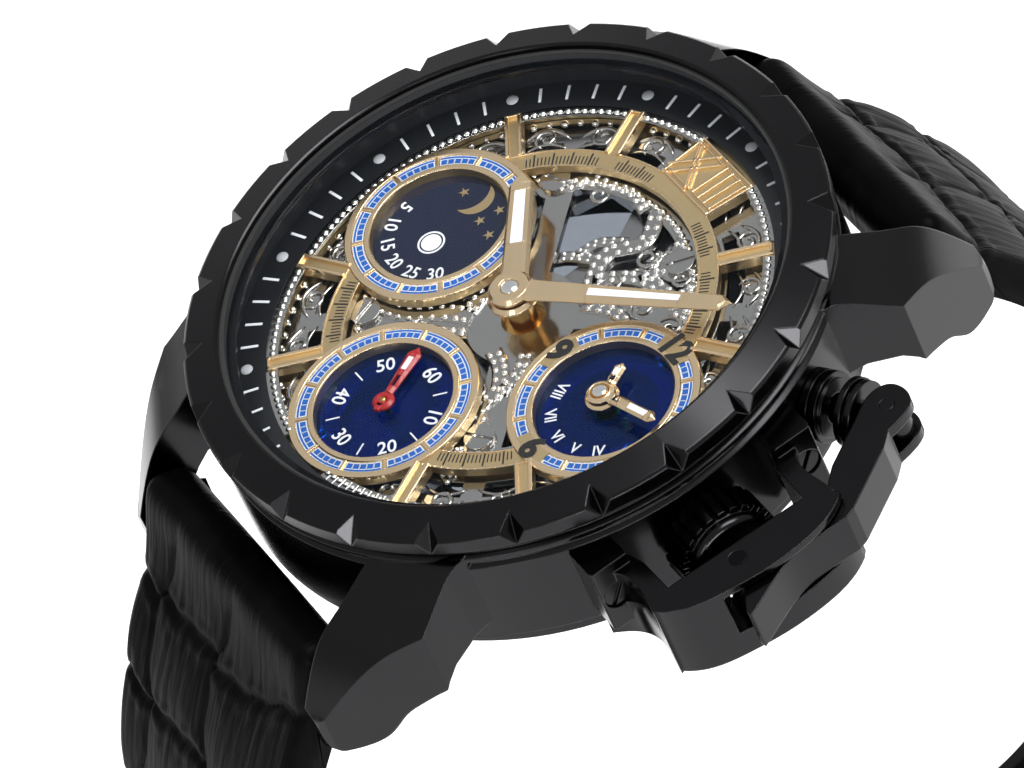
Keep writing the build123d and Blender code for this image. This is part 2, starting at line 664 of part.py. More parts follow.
def train_wheel(name, c, z_wheel, t_wheel, n, m, phase, pinion, arbor, spoke=None, top=None):
    """A wheel with its pinion on one arbor. pinion = (z0, z1, n, m, phase) or None; arbor = [(z0, z1, r), ...]."""
    with BuildPart() as w:
        with BuildSketch(Plane.XY.offset(z_wheel)):
            with BuildLine():
                Polyline(*gear_pts(*c, n, m, phase), close=True)
            make_face()
            if spoke:
                for o in spokes(c, *spoke):
                    with BuildLine():
                        Polyline(*o, close=True)
                    make_face(mode=Mode.SUBTRACT)
        extrude(amount=t_wheel)
        if pinion:
            z0, z1, pn, pm, pp = pinion
            with BuildSketch(Plane.XY.offset(z0)):
                with BuildLine():
                    Polyline(*gear_pts(*c, pn, pm, pp, root=0.56), close=True)
                make_face()
            extrude(amount=z1 - z0)
        for z0, z1, r in arbor:
            with BuildSketch(Plane.XY.offset(z0)):
                with Locations(c):
                    Circle(r)
            extrude(amount=z1 - z0)
    save(w, name)
    return w


train_wheel("centre_wheel", C0, 5.2, 0.22, N_CENTRE, M1, ph_centre, (3.7, 4.2, N_PC, MB, ph_pc),
            [(2.3, 3.2, 0.15), (3.2, 3.7, 0.4), (4.2, 5.7, 0.4), (5.7, 11.0, 0.4)], spoke=(5, 1.1, 4.4, 0.55))
train_wheel("third_wheel", THIRD, 4.55, 0.2, N_THIRD, M2, ph_third, (4.85, 5.6, N_P3, M1, ph_p3),
            [(2.3, 3.2, 0.15), (3.2, 4.85, 0.35), (5.6, 5.8, 0.35), (5.8, 6.7, 0.15)], spoke=(4, 0.9, 4.0, 0.5))
train_wheel("fourth_wheel", SEC_C, 3.65, 0.2, N_FOURTH, M3, ph_fourth, (4.2, 5.0, N_P4, M2, ph_p4),
            [(2.3, 3.2, 0.15), (3.2, 4.2, 0.3), (5.0, 5.8, 0.3), (5.8, 8.9, 0.24)], spoke=(4, 0.9, 3.5, 0.45))

# escape wheel: fifteen hooked teeth
with BuildPart() as escape_wheel:
    pts = []
    for i in range(15):
        a = 2 * pi * i / 15
        for da, r in ((0.0, 2.15), (0.045, 2.12), (0.10, 1.55), (0.34, 1.5)):
            pts.append((ESC[0] + r * cos(a + da), ESC[1] + r * sin(a + da)))
    with BuildSketch(Plane.XY.offset(5.0)):
        with BuildLine():
            Polyline(*pts, close=True)
        make_face()
        for o in spokes(ESC, 4, 0.5, 1.25, 0.3):
            with BuildLine():
                Polyline(*o, close=True)
            make_face(mode=Mode.SUBTRACT)
    extrude(amount=0.18)
    with BuildSketch(Plane.XY.offset(3.55)):
        with BuildLine():
            Polyline(*gear_pts(*ESC, N_PE, M3, ph_pe, root=0.56), close=True)
        make_face()
    extrude(amount=0.6)
    for z0, z1, r in ((2.3, 3.2, 0.15), (3.2, 3.55, 0.22), (4.15, 5.7, 0.22), (5.7, 6.7, 0.15)):
        with BuildSketch(Plane.XY.offset(z0)):
            with Locations(ESC):
                Circle(r)
        extrude(amount=z1 - z0)
save(escape_wheel, "escape_wheel")

# pallet fork
da = ang(PALLET, ESC)
db = ang(PALLET, BALANCE)


def rel(c, r, a):
    return (c[0] + r * cos(radians(a)), c[1] + r * sin(radians(a)))


with BuildPart() as pallet_fork:
    tail = dist(PALLET, BALANCE) - 0.85
    with BuildSketch(Plane.XY.offset(5.0)):
        with BuildLine():
            Polyline(rel(PALLET, 0.55, da - 60), rel(PALLET, 2.35, da - 58), rel(PALLET, 2.6, da - 50),
                     rel(PALLET, 2.1, da - 50), rel(PALLET, 0.45, da), rel(PALLET, 2.1, da + 50), rel(PALLET, 2.6, da + 50),
                     rel(PALLET, 2.35, da + 58), rel(PALLET, 0.55, da + 60), rel(PALLET, 0.5, db - 30),
                     rel(PALLET, tail, db - 4), rel(PALLET, tail - 0.25, db), rel(PALLET, tail, db + 4),
                     rel(PALLET, 0.5, db + 30), close=True)
        make_face()
    extrude(amount=0.18)
    for z0, z1, r in ((2.3, 3.2, 0.15), (3.2, 5.7, 0.24), (5.7, 6.7, 0.15)):
        with BuildSketch(Plane.XY.offset(z0)):
            with Locations(PALLET):
                Circle(r)
        extrude(amount=z1 - z0)
save(pallet_fork, "pallet_fork")

with BuildPart() as balance_wheel:
    with BuildSketch(Plane.XY.offset(3.95)):
        with Locations(BALANCE):
            Circle(3.9)
            Circle(3.35, mode=Mode.SUBTRACT)
        with Locations(BALANCE):
            Rectangle(7.2, 0.5)
        with Locations(BALANCE):
            Rectangle(0.5, 7.2)
        with Locations(BALANCE):
            Circle(0.5)
    extrude(amount=0.4)
    for z0, z1, r in ((2.3, 3.2, 0.14), (3.2, 3.95, 0.25), (4.35, 5.0, 0.25), (5.0, 5.18, 0.7), (5.18, 5.7, 0.25), (5.7, 6.7, 0.14)):
        with BuildSketch(Plane.XY.offset(z0)):
            with Locations(BALANCE):
                Circle(r)
        extrude(amount=z1 - z0)
save(balance_wheel, "balance_wheel")

with BuildPart() as hairspring:
    turns, t = 7.0, 0.06
    inner, outer = [], []
    for k in range(int(turns * 16) + 1):
        a = 2 * pi * k / 16
        r = 0.32 + (2.2 - 0.32) * k / (turns * 16)
        inner.append((BALANCE[0] + r * cos(a), BALANCE[1] + r * sin(a)))
        outer.append((BALANCE[0] + (r + t) * cos(a), BALANCE[1] + (r + t) * sin(a)))
    with BuildSketch(Plane.XY.offset(3.45)):
        with BuildLine():
            Polyline(*inner, *outer[::-1], close=True)
        make_face()
    extrude(amount=0.2)
save(hairspring, "hairspring")

# ---------------------------------------------------------------------------
# motion works and hands
# ---------------------------------------------------------------------------
def tube_gear(name, c, z0, t, n, m, phase, bore, extra):
    """A wheel on a tube. extra = [(z0, z1, r_out, r_in), ...]."""
    with BuildPart() as w:
        with BuildSketch(Plane.XY.offset(z0)):
            with BuildLine():
                Polyline(*gear_pts(*c, n, m, phase), close=True)
            make_face()
            with Locations(c):
                Circle(bore, mode=Mode.SUBTRACT)
        extrude(amount=t)
        for a0, a1, ro, ri in extra:
            with BuildSketch(Plane.XY.offset(a0)):
                with Locations(c):
                    Circle(ro)
                    Circle(ri, mode=Mode.SUBTRACT)
            extrude(amount=a1 - a0)
    return w


def cannon(name, c, bore, ph_d, z_top):
    """Drive wheel, pinion and tube of a cannon pinion."""
    with BuildPart() as w:
        with BuildSketch(Plane.XY.offset(6.9)):
            with BuildLine():
                Polyline(*gear_pts(*c, N_DRIVE, MI, ph_d), close=True)
            make_face()
            with Locations(c):
                Circle(bore, mode=Mode.SUBTRACT)
        extrude(amount=0.15)
        with BuildSketch(Plane.XY.offset(7.05)):
            with BuildLine():
                Polyline(*gear_pts(*c, N_CAN, MW, ph_can, root=0.56), close=True)
            make_face()
            with Locations(c):
                Circle(bore, mode=Mode.SUBTRACT)
        extrude(amount=0.2)
        with BuildSketch(Plane.XY.offset(7.25)):
            with Locations(c):
                Circle(bore + 0.22)
                Circle(bore, mode=Mode.SUBTRACT)
        extrude(amount=z_top - 7.25)
    save(w, name)


def motion_wheel(name, c, ph_w):
    with BuildPart() as w:
        with BuildSketch(Plane.XY.offset(7.08)):
            with BuildLine():
                Polyline(*gear_pts(*c, N_MW, MW, ph_w), close=True)
            make_face()
            with Locations(c):
                Circle(0.3, mode=Mode.SUBTRACT)
        extrude(amount=0.12)
        with BuildSketch(Plane.XY.offset(7.2)):
            with BuildLine():
                Polyline(*gear_pts(*c, N_MP, MH, ph_mp, root=0.5), close=True)
            make_face()
            with Locations(c):
                Circle(0.3, mode=Mode.SUBTRACT)
        extrude(amount=0.2)
    save(w, name)


cannon("cannon_pinion", C0, 0.4, ph_drive, 10.85)
motion_wheel("minute_wheel", MMW, ph_mmw)
hw = tube_gear("hour_wheel", C0, 7.28, 0.12, N_HW, MH, ph_hw, 0.68, [(7.4, 10.0, 0.95, 0.68)])
save(hw, "hour_wheel")

with BuildPart() as dual_idler:
    with BuildSketch(Plane.XY.offset(6.9)):
        with BuildLine():
            Polyline(*gear_pts(*IDLER, N_IDLER, MI, ph_idler), close=True)
        make_face()
        with Locations(IDLER):
            Circle(0.3, mode=Mode.SUBTRACT)
    extrude(amount=0.15)
save(dual_idler, "dual_time_idler")

cannon("dual_cannon_pinion", DUAL_C, 0.36, ph_ddrive, 9.85)
motion_wheel("dual_minute_wheel", DMW, ph_dmw)
dhw = tube_gear("dual_hour_wheel", DUAL_C, 7.28, 0.12, N_HW, MH, ph_dhw, 0.64, [(7.4, 9.35, 0.86, 0.64)])
save(dhw, "dual_hour_wheel")


def hand(name, c, clock, length, tail, w0, w1, hub, bore, z0, z1, lume=None, window=None, tipr=0.7, socket=0.0):
    """A flat baton hand with a pointed tip, pointing at a clock angle."""
    a = 90 - clock
    ux, uy = cos(radians(a)), sin(radians(a))

    def q(u, v):
        return (c[0] + u * ux - v * uy, c[1] + u * uy + v * ux)

    with BuildPart() as h:
        with BuildSketch(Plane.XY.offset(z0)):
            with BuildLine():
                Polyline(q(0, w0 / 2), q(length - tipr, w1 / 2), q(length, 0.0), q(length - tipr, -w1 / 2), q(0, -w0 / 2),
                         q(-tail, -w0 / 2.4), q(-tail, w0 / 2.4), close=True)
            make_face()
            with Locations(c):
                Circle(hub)
            if lume:
                with BuildLine():
                    Polyline(q(lume[0], lume[2] / 2), q(lume[1], lume[3] / 2), q(lume[1], -lume[3] / 2), q(lume[0], -lume[2] / 2), close=True)
                make_face(mode=Mode.SUBTRACT)
            if window:
                with BuildLine():
                    Polyline(q(window[0], window[2] / 2), q(window[1], window[2] / 2), q(window[1], -window[2] / 2), q(window[0], -window[2] / 2), close=True)
                make_face(mode=Mode.SUBTRACT)
            if bore:
                with Locations(c):
                    Circle(bore, mode=Mode.SUBTRACT)
        extrude(amount=z1 - z0)
        if socket:
            with BuildSketch(Plane.XY.offset(z0 - socket)):
                with Locations(c):
                    Circle(hub * 0.8)
                    if bore:
                        Circle(bore, mode=Mode.SUBTRACT)
            extrude(amount=socket)
    save(h, name)


hand("hour_hand", C0, 305.0, 10.8, 0.0, 1.95, 1.75, 1.75, 0.95, 10.1, 10.35, lume=(4.3, 8.9, 0.85, 0.75), tipr=1.3, socket=0.15)
hand("minute_hand", C0, 51.3, 15.7, 0.0, 1.75, 1.25, 1.5, 0.62, 10.75, 11.0, lume=(5.6, 12.1, 0.62, 0.5), tipr=0.8, socket=0.2)
hand("seconds_hand", SEC_C, 332.7, 4.6, 0.9, 0.55, 1.05, 0.75, 0.24, 8.85, 9.0, lume=(2.6, 3.7, 0.42, 0.42), window=(1.2, 2.1, 0.34), tipr=0.6)
hand("dual_hour_hand", DUAL_C, 330.7, 2.85, 0.0, 0.75, 0.85, 1.15, 0.86, 9.15, 9.32, lume=(1.75, 2.35, 0.4, 0.4), window=(1.3, 1.65, 0.4), tipr=0.35)
hand("dual_minute_hand", DUAL_C, 73.7, 4.9, 0.0, 0.8, 0.85, 0.95, 0.58, 9.6, 9.77, lume=(2.6, 4.1, 0.45, 0.45), window=(1.25, 1.75, 0.42), tipr=0.45)

# ---------------------------------------------------------------------------
# keyless works: stem, winding pinion, setting lever, crown, tube, gasket
# ---------------------------------------------------------------------------
XP = dict(x_dir=(0, 1, 0), z_dir=(1, 0, 0))
with BuildPart() as stem:
    for x0, x1, r in ((9.0, 11.9, 0.4), (11.9, 12.5, 0.5), (12.5, 13.1, 0.32), (13.1, 22.3, 0.5)):
        with BuildSketch(Plane(origin=(x0, 0, STEM_Z), **XP)):
            Circle(r)
        extrude(amount=x1 - x0)
    # winding pinion
    with BuildSketch(Plane(origin=(9.4, 0, STEM_Z), **XP)):
        with BuildLine():
            Polyline(*gear_pts(0, 0, 12, MR, 0.0, add=0.6, root=0.5), close=True)
        make_face()
    extrude(amount=1.4)
save(stem, "winding_stem")

with BuildPart() as setting_lever:
    with BuildSketch(Plane(origin=(12.6, 0, STEM_Z), **XP)):
        with Locations((-0.9, 0)):
            Rectangle(2.9, 1.2)
        Circle(0.38, mode=Mode.SUBTRACT)
        with Locations((0.4, 0)):
            Rectangle(0.8, 0.76, mode=Mode.SUBTRACT)
    extrude(amount=0.4)
save(setting_lever, "setting_lever")

with BuildPart() as crown_tube:
    with BuildSketch(Plane(origin=(BORE_R, 0, STEM_Z), **XP)):
        Circle(1.4)
        Circle(0.55, mode=Mode.SUBTRACT)
    extrude(amount=CASE_R + 0.35 - BORE_R)
save(crown_tube, "crown_tube")

with BuildPart() as crown:
    with BuildSketch(Plane(origin=(CROWN_X0, 0, STEM_Z), **XP)):
        Circle(CROWN_R)
        for i in range(24):
            a = 360 / 24 * i
            with BuildLine():
                Polyline(P(CROWN_R - 0.4, a - 2.4), P(CROWN_R + 0.3, a - 4.0), P(CROWN_R + 0.3, a + 4.0),
                         P(CROWN_R - 0.4, a + 2.4), close=True)
            make_face(mode=Mode.SUBTRACT)
    extrude(amount=CROWN_X1 - CROWN_X0 - 0.6)
    with BuildSketch(Plane(origin=(CROWN_X1 - 0.6, 0, STEM_Z), **XP)):
        Circle(CROWN_R - 0.45)
    extrude(amount=0.8)
    fillet(crown.edges().filter_by(GeomType.CIRCLE).sort_by(Axis.X)[-1], radius=0.45)
save(crown, "crown")

# ---------------------------------------------------------------------------
# crown guard bridge with its screws, trigger lever, fork roller, pusher
# ---------------------------------------------------------------------------
with BuildPart() as guard_bridge:
    # bar
    with BuildSketch(Plane.XY.offset(GUARD_Z0)):
        with BuildLine():
            g1 = Line((26.45, -5.6), (26.75, 5.9))
            g2 = Polyline((26.75, 5.9), (28.0, 7.1), (28.45, 6.75))
            g3 = Spline((28.45, 6.75), (29.5, 4.7), (29.85, 2.6), (29.85, -0.2), (29.5, -2.7), (28.95, -4.8), (27.4, -6.85))
            g4 = Line((27.4, -6.85), (26.45, -5.6))
        make_face()
    extrude(amount=GUARD_Z1 - GUARD_Z0)
    # legs, flaring to the feet
    for s in (1, -1):
        with BuildSketch(Plane.XY.offset(GUARD_Z0)):
            with BuildLine():
                k1 = Polyline((21.5, s * 5.75), (23.6, s * 5.15), (26.8, s * 5.1), (27.7, s * 6.9))
                k2 = Spline((27.7, s * 6.9), (26.0, s * 6.6), (24.4, s * 6.45), (22.9, s * 6.95), (21.9, s * 7.9), (21.5, s * 8.4))
                k3 = Line((21.5, s * 8.4), (21.5, s * 5.75))
            make_face()
        extrude(amount=GUARD_Z1 - GUARD_Z0)
    # the legs' top steps down towards the feet
    for s in (1, -1):
        with BuildSketch(Plane.YZ.offset(21.4)):
            with BuildLine():
                Polyline((s * 5.6, 8.0), (s * 5.7, 8.6), (s * 9.2, 8.6), (s * 9.2, 8.0), close=True)
            make_face()
        extrude(amount=1.9, mode=Mode.SUBTRACT)
    # feet against the mid-case
    for s in (1, -1):
        with BuildSketch(Plane.XY.offset(3.3)):
            with BuildLine():
                Polyline((20.6, s * 5.75), (22.8, s * 5.75), (22.8, s * 8.3), (22.5, s * 8.45), (20.0, s * 8.45), close=True)
            make_face()
        extrude(amount=5.4)
    # clear of the mid-case barrel
    with BuildSketch(Plane.XY.offset(-1)):
        Circle(CASE_R)
    extrude(amount=14, mode=Mode.SUBTRACT)
    # slot for the lever in the bar's outer right part, open outwards
    with BuildSketch(Plane.XY.offset(LEVER_Z0 - 0.15)):
        with BuildLine():
            Polyline((25.9, 9.5), (25.9, 6.6), (26.45, 4.6), (26.55, 1.2), (26.25, 0.7), (26.15, -1.4), (27.3, -2.3), (28.6, -2.7), (32, -3.4), (32, 9.5), close=True)
        make_face()
    extrude(amount=LEVER_Z1 - LEVER_Z0 + 0.3, mode=Mode.SUBTRACT)
    with BuildSketch(Plane.XY.offset(GUARD_Z0 - 1)):
        with Locations(PIVOT):
            Circle(0.6)
    extrude(amount=9, mode=Mode.SUBTRACT)
    # counterbored screw holes in the feet
    for s in (1, -1):
        with BuildSketch(Plane(origin=(20.0, s * 7.25, 6.0), **XP)):
            Circle(0.5)
        extrude(amount=5, mode=Mode.SUBTRACT)
        with BuildSketch(Plane(origin=(22.25, s * 7.25, 6.0), **XP)):
            Circle(1.05)
        extrude(amount=5, mode=Mode.SUBTRACT)
save(guard_bridge, "crown_guard_bridge")

with BuildPart() as guard_screws:
    for s in (1, -1):
        with BuildSketch(Plane(origin=(19.7, s * 7.25, 6.0), **XP)):
            Circle(0.5)
        extrude(amount=2.55)
        with BuildSketch(Plane(origin=(22.25, s * 7.25, 6.0), **XP)):
            Circle(1.05)
        extrude(amount=0.4)
        with BuildSketch(Plane(origin=(22.45, s * 7.25, 6.0), **XP)):
            Rectangle(2.3, 0.28, rotation=55)
        extrude(amount=0.4, mode=Mode.SUBTRACT)
save(guard_screws, "guard_screws")

with BuildPart() as trigger_pin:
    with BuildSketch(Plane.XY.offset(GUARD_Z0)):
        with Locations(PIVOT):
            Circle(0.6)
    extrude(amount=GUARD_Z1 - GUARD_Z0)
save(trigger_pin, "trigger_pivot_pin")

FR = 1.55      # fork ear radius
with BuildPart() as trigger_lever:
    with BuildSketch(Plane.XY.offset(LEVER_Z0)):
        with BuildLine():
            t1 = Spline((31.75, -2.25), (30.55, 0.1), (29.75, 2.1), (29.55, 4.0), (29.6, 6.4))
            t2 = Polyline((29.6, 6.4), (29.3, 7.15), (26.6, 11.2), (25.6, 12.2))
            t3 = Spline((25.6, 12.2), (25.35, 13.3), (24.6, 14.6), (23.3, 14.85), (22.3, 14.3), (22.1, 13.1), (22.9, 11.6), (23.6, 10.6))
            t4 = Polyline((23.6, 10.6), (25.35, 8.0), (26.5, 6.9), (27.1, 5.2), (27.0, 1.0))
            t5 = Polyline((27.0, 1.0), (26.75, 0.35), (26.55, -0.9), (27.2, -1.75), (28.4, -1.9), (29.1, -1.2), (31.3, -2.35), (31.75, -2.25))
        make_face()
    extrude(amount=LEVER_Z1 - LEVER_Z0)
    # gap between the two ears of the fork
    with BuildSketch(Plane.XY.offset(LEVER_Z0 + 0.75)):
        with Locations(FORK):
            Circle(2.15)
    extrude(amount=LEVER_Z1 - LEVER_Z0 - 1.5, mode=Mode.SUBTRACT)
    with BuildSketch(Plane.XY.offset(LEVER_Z0 - 1)):
        with Locations(PIVOT):
            Circle(0.66)
    extrude(amount=6, mode=Mode.SUBTRACT)
    with BuildSketch(Plane.XY.offset(LEVER_Z0 - 1)):
        with Locations(FORK):
            Circle(0.5)
    extrude(amount=6, mode=Mode.SUBTRACT)
save(trigger_lever, "trigger_lever")

# fork roller on its pin
with BuildPart() as fork_roller:
    with BuildSketch(Plane.XY.offset(LEVER_Z0)):
        with Locations(FORK):
            Circle(0.5)
    extrude(amount=LEVER_Z1 - LEVER_Z0)
    with BuildSketch(Plane.XY.offset(LEVER_Z0 + 0.8)):
        with Locations(FORK):
            Circle(1.2)
            Circle(0.55, mode=Mode.SUBTRACT)
    extrude(amount=LEVER_Z1 - LEVER_Z0 - 1.6)
save(fork_roller, "fork_roller")


def push_plane(r):
    return Plane(origin=pd * r + Vector(0, 0, PUSH_Z), x_dir=(-pd.Y, pd.X, 0), z_dir=pd)


with BuildPart() as pusher_tube:
    for r0, r1, ro in ((19.75, 21.45, 1.5), (21.55, 22.1, 2.35), (22.1, 22.3, 1.95), (22.3, 22.75, 2.35), (22.75, 22.95, 1.95)):
        with BuildSketch(push_plane(r0)):
            Circle(ro)
            Circle(1.0, mode=Mode.SUBTRACT)
        extrude(amount=r1 - r0)
    with BuildSketch(push_plane(21.4)):
        Circle(1.5)
        Circle(1.0, mode=Mode.SUBTRACT)
    extrude(amount=0.2)
save(pusher_tube, "pusher_tube")

with BuildPart() as pusher:
    for r0, r1, ro in ((24.1, 24.55, 2.3), (24.55, 24.75, 1.9), (24.75, 25.2, 2.2), (25.2, 25.94, 0.72), (18.9, 24.15, 0.6)):
        with BuildSketch(push_plane(r0)):
            Circle(ro)
        extrude(amount=r1 - r0)
save(pusher, "pusher")

# ---------------------------------------------------------------------------
# spring bars, strap, buckle
# ---------------------------------------------------------------------------
BUCKLE_Y, BUCKLE_Z = 1.4, -70.1          # hinge bar of the buckle
BASE_Z = -75.6                           # underside of the buckle and keepers
with BuildPart() as spring_bars:
    for s in (1, -1):
        with BuildSketch(Plane(origin=(-12.1, s * BAR_Y, BAR_Z), **XP)):
            Circle(0.4)
        extrude(amount=24.2)
        with BuildSketch(Plane(origin=(-11.0, s * BAR_Y, BAR_Z), **XP)):
            Circle(BAR_R)
        extrude(amount=22.0)
    # hinge bar of the buckle
    with BuildSketch(Plane(origin=(-13.0, BUCKLE_Y, BUCKLE_Z), **XP)):
        Circle(0.5)
    extrude(amount=26.0)
save(spring_bars, "spring_bars")


# the strap's centre line runs from the spring bar down and round the wrist
UP_OUT = [(25.2, 4.35), (27.4, -0.4), (31.9, -7.6), (36.2, -18.38), (38.2, -33.88), (36.6, -51.2), (31.6, -64.6), (24.2, -69.9), (15.0, -71.3), (3.2, -71.3)]
UP_IN = [(3.2, -68.9), (14.6, -68.8), (22.6, -67.4), (29.0, -62.02), (33.7, -49.01), (35.1, -33.88), (33.1, -20.38), (28.9, -9.0), (25.2, -3.1), (22.6, -0.8)]
LO_OUT = [(-25.2, 4.35), (-27.4, -0.4), (-31.9, -7.6), (-36.2, -18.38), (-38.2, -33.88), (-36.4, -51.92), (-31.4, -65.4), (-24.0, -71.4), (-14.0, -74.0), (0.0, -74.0), (14.0, -74.0), (21.5, -73.2)]
LO_IN = [(21.9, -71.0), (14.0, -71.65), (0.0, -71.65), (-13.4, -71.5), (-22.0, -69.0), (-28.8, -63.15), (-33.5, -49.92), (-35.1, -33.88), (-33.1, -20.38), (-28.9, -9.0), (-25.2, -3.1), (-22.6, -0.8)]

for nm, s, po, pin in (("strap_upper", 1, UP_OUT, UP_IN), ("strap_lower", -1, LO_OUT, LO_IN)):
    with BuildPart() as strap:
        with BuildSketch(Plane.YZ.offset(-STRAP_W / 2)):
            with BuildLine():
                a1 = Spline(*po)
                a2 = Line(po[-1], pin[0])
                a3 = Spline(*pin)
                a4 = ThreePointArc(pin[-1], (s * 21.8, 1.7), (s * 22.9, 4.2))
                a5 = Line((s * 22.9, 4.2), po[0])
            make_face()
            with Locations((s * BAR_Y, BAR_Z)):
                Circle(BAR_R, mode=Mode.SUBTRACT)
        extrude(amount=STRAP_W)
    if nm == "strap_lower":
        with BuildPart() as strap2:
            add(strap.part)
            # row of tongue holes
            with BuildSketch(Plane.XY.offset(-76)):
                with Locations(*[(0, y) for y in (-21.0, -15.3, -9.6, 6.0)]):
                    SlotOverall(2.4, 1.6)
                with Locations((0, -2.2)):
                    SlotOverall(6.8, 2.0, rotation=90)
            extrude(amount=6, mode=Mode.SUBTRACT)
        save(strap2, nm)
    else:
        with BuildPart() as strap3:
            add(strap.part)
            # the end round the buckle's hinge bar, with a slot for the tongue
            with BuildSketch(Plane.YZ.offset(-STRAP_W / 2)):
                with Locations((1.4, -70.1)):
                    Circle(1.2)
                with Locations((2.4, -70.1)):
                    Rectangle(2.0, 2.4)
            extrude(amount=STRAP_W)
            with BuildSketch(Plane.YZ.offset(-STRAP_W / 2)):
                with Locations((1.4, -70.1)):
                    Circle(0.5)
            extrude(amount=STRAP_W, mode=Mode.SUBTRACT)
            with BuildSketch(Plane.XY.offset(-72)):
                with Locations((0, 1.2)):
                    Rectangle(2.4, 4.6)
            extrude(amount=4, mode=Mode.SUBTRACT)
            # fixed keeper stitched to this half
            with BuildSketch(Plane.XZ.offset(-4.6)):
                with Locations((0, (-67.9 + BASE_Z) / 2)):
                    RectangleRounded(24.8, -67.9 - BASE_Z, 1.2)
                with Locations((0, (-69 - 74.3) / 2)):
                    RectangleRounded(22.4, -69 + 74.3, 0.5, mode=Mode.SUBTRACT)
            extrude(amount=-4.0)
        save(strap3, nm)

# pin buckle, free keeper
with BuildPart() as buckle_frame:
    with BuildSketch(Plane.XY.offset(BASE_Z)):
        with Locations((0, -3.4)):
            RectangleRounded(26.4, 12.4, 1.6)
        with Locations((0, -2.7)):
            RectangleRounded(22.8, 9.0, 0.8, mode=Mode.SUBTRACT)
        with Locations((0, 2.0)):
            Rectangle(22.8, 9.0, mode=Mode.SUBTRACT)
    extrude(amount=6.6)
    # in side view the frame is a curved band: thick under the strap end, rising to the hinge bar
    with BuildSketch(Plane.YZ.offset(-15)):
        with BuildLine():
            b1 = Polyline((-9.7, BASE_Z), (-5.5, BASE_Z), (-3.0, BASE_Z + 0.9), (2.9, -71.3), (2.9, -69), (0.0, -69))
            b2 = Polyline((0.0, -69), (-3.0, -70.2), (-5.4, -72.2), (-6.9, -74.25), (-9.7, -74.3))
            b3 = Line((-9.7, -74.3), (-9.7, BASE_Z))
        make_face()
    extrude(amount=30, mode=Mode.INTERSECT)
    with BuildSketch(Plane(origin=(-13.3, BUCKLE_Y, BUCKLE_Z), **XP)):
        Circle(0.5)
    extrude(amount=26.6, mode=Mode.SUBTRACT)
    # groove that takes the tongue's tip
    with BuildSketch(Plane.XY.offset(BASE_Z - 1)):
        with Locations((0, -8.5)):
            Rectangle(1.9, 4.0)
    extrude(amount=1.95, mode=Mode.SUBTRACT)
save(buckle_frame, "buckle_frame")

with BuildPart() as buckle_tongue:
    with BuildSketch(Plane.YZ.offset(-0.65)):
        with BuildLine():
            q1 = Polyline((BUCKLE_Y - 0.8, BUCKLE_Z + 0.4), (-1.9, -71.9), (-4.2, -74.35), (-5.2, -74.75), (-9.4, -74.98),
                          (-9.4, -75.5), (-5.2, -75.4), (-3.4, -74.75), (-1.0, -72.6), (BUCKLE_Y - 0.2, BUCKLE_Z - 0.9), close=True)
        make_face()
        with Locations((BUCKLE_Y, BUCKLE_Z)):
            Circle(1.0)
            Circle(0.56, mode=Mode.SUBTRACT)
    extrude(amount=1.3)
save(buckle_tongue, "buckle_tongue")

with BuildPart() as free_keeper:
    with BuildSketch(Plane.XZ.offset(-12.4)):
        with Locations((0, (-67.4 + BASE_Z) / 2)):
            RectangleRounded(24.8, -67.4 - BASE_Z, 1.2)
        with Locations((0, (-68.2 - 74.3) / 2)):
            RectangleRounded(22.4, -68.2 + 74.3, 0.5, mode=Mode.SUBTRACT)
    extrude(amount=-4.0)
save(free_keeper, "free_keeper")
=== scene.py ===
import bpy
import random
import numpy as np
from math import cos, sin, pi, radians, degrees, sqrt, atan2
from mathutils import Vector, Matrix


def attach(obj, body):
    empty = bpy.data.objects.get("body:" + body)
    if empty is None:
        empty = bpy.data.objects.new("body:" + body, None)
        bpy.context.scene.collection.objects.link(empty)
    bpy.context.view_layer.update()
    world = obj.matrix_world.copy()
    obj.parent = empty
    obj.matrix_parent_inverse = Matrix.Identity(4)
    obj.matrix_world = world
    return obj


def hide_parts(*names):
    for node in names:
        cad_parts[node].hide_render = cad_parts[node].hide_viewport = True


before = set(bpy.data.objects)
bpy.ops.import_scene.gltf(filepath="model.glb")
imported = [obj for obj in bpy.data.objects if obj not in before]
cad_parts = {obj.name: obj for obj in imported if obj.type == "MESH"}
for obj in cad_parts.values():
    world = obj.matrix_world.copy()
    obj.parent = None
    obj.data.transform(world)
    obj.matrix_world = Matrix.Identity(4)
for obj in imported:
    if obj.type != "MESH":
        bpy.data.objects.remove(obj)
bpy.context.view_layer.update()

random.seed(7)
MM = 0.001

# ---------------------------------------------------------------- dial layout
MOON_C = (-10.34, -0.1)
SEC_C = (0.0, -10.67)
DUAL_C = (11.0, -0.1)
TOP = 9.0


def P(r, a):
    return (r * cos(radians(a)), r * sin(radians(a)))


# ---------------------------------------------------------------- materials
def new_mat(name):
    m = bpy.data.materials.new(name)
    m.use_nodes = True
    nt = m.node_tree
    for n in list(nt.nodes):
        nt.nodes.remove(n)
    out = nt.nodes.new("ShaderNodeOutputMaterial")
    return m, nt, out


def obj_coords(nt, scale=(1, 1, 1), rot=(0, 0, 0)):
    tc = nt.nodes.new("ShaderNodeTexCoord")
    mp = nt.nodes.new("ShaderNodeMapping")
    mp.inputs["Scale"].default_value = scale
    mp.inputs["Rotation"].default_value = rot
    nt.links.new(tc.outputs["Object"], mp.inputs["Vector"])
    return mp.outputs["Vector"]


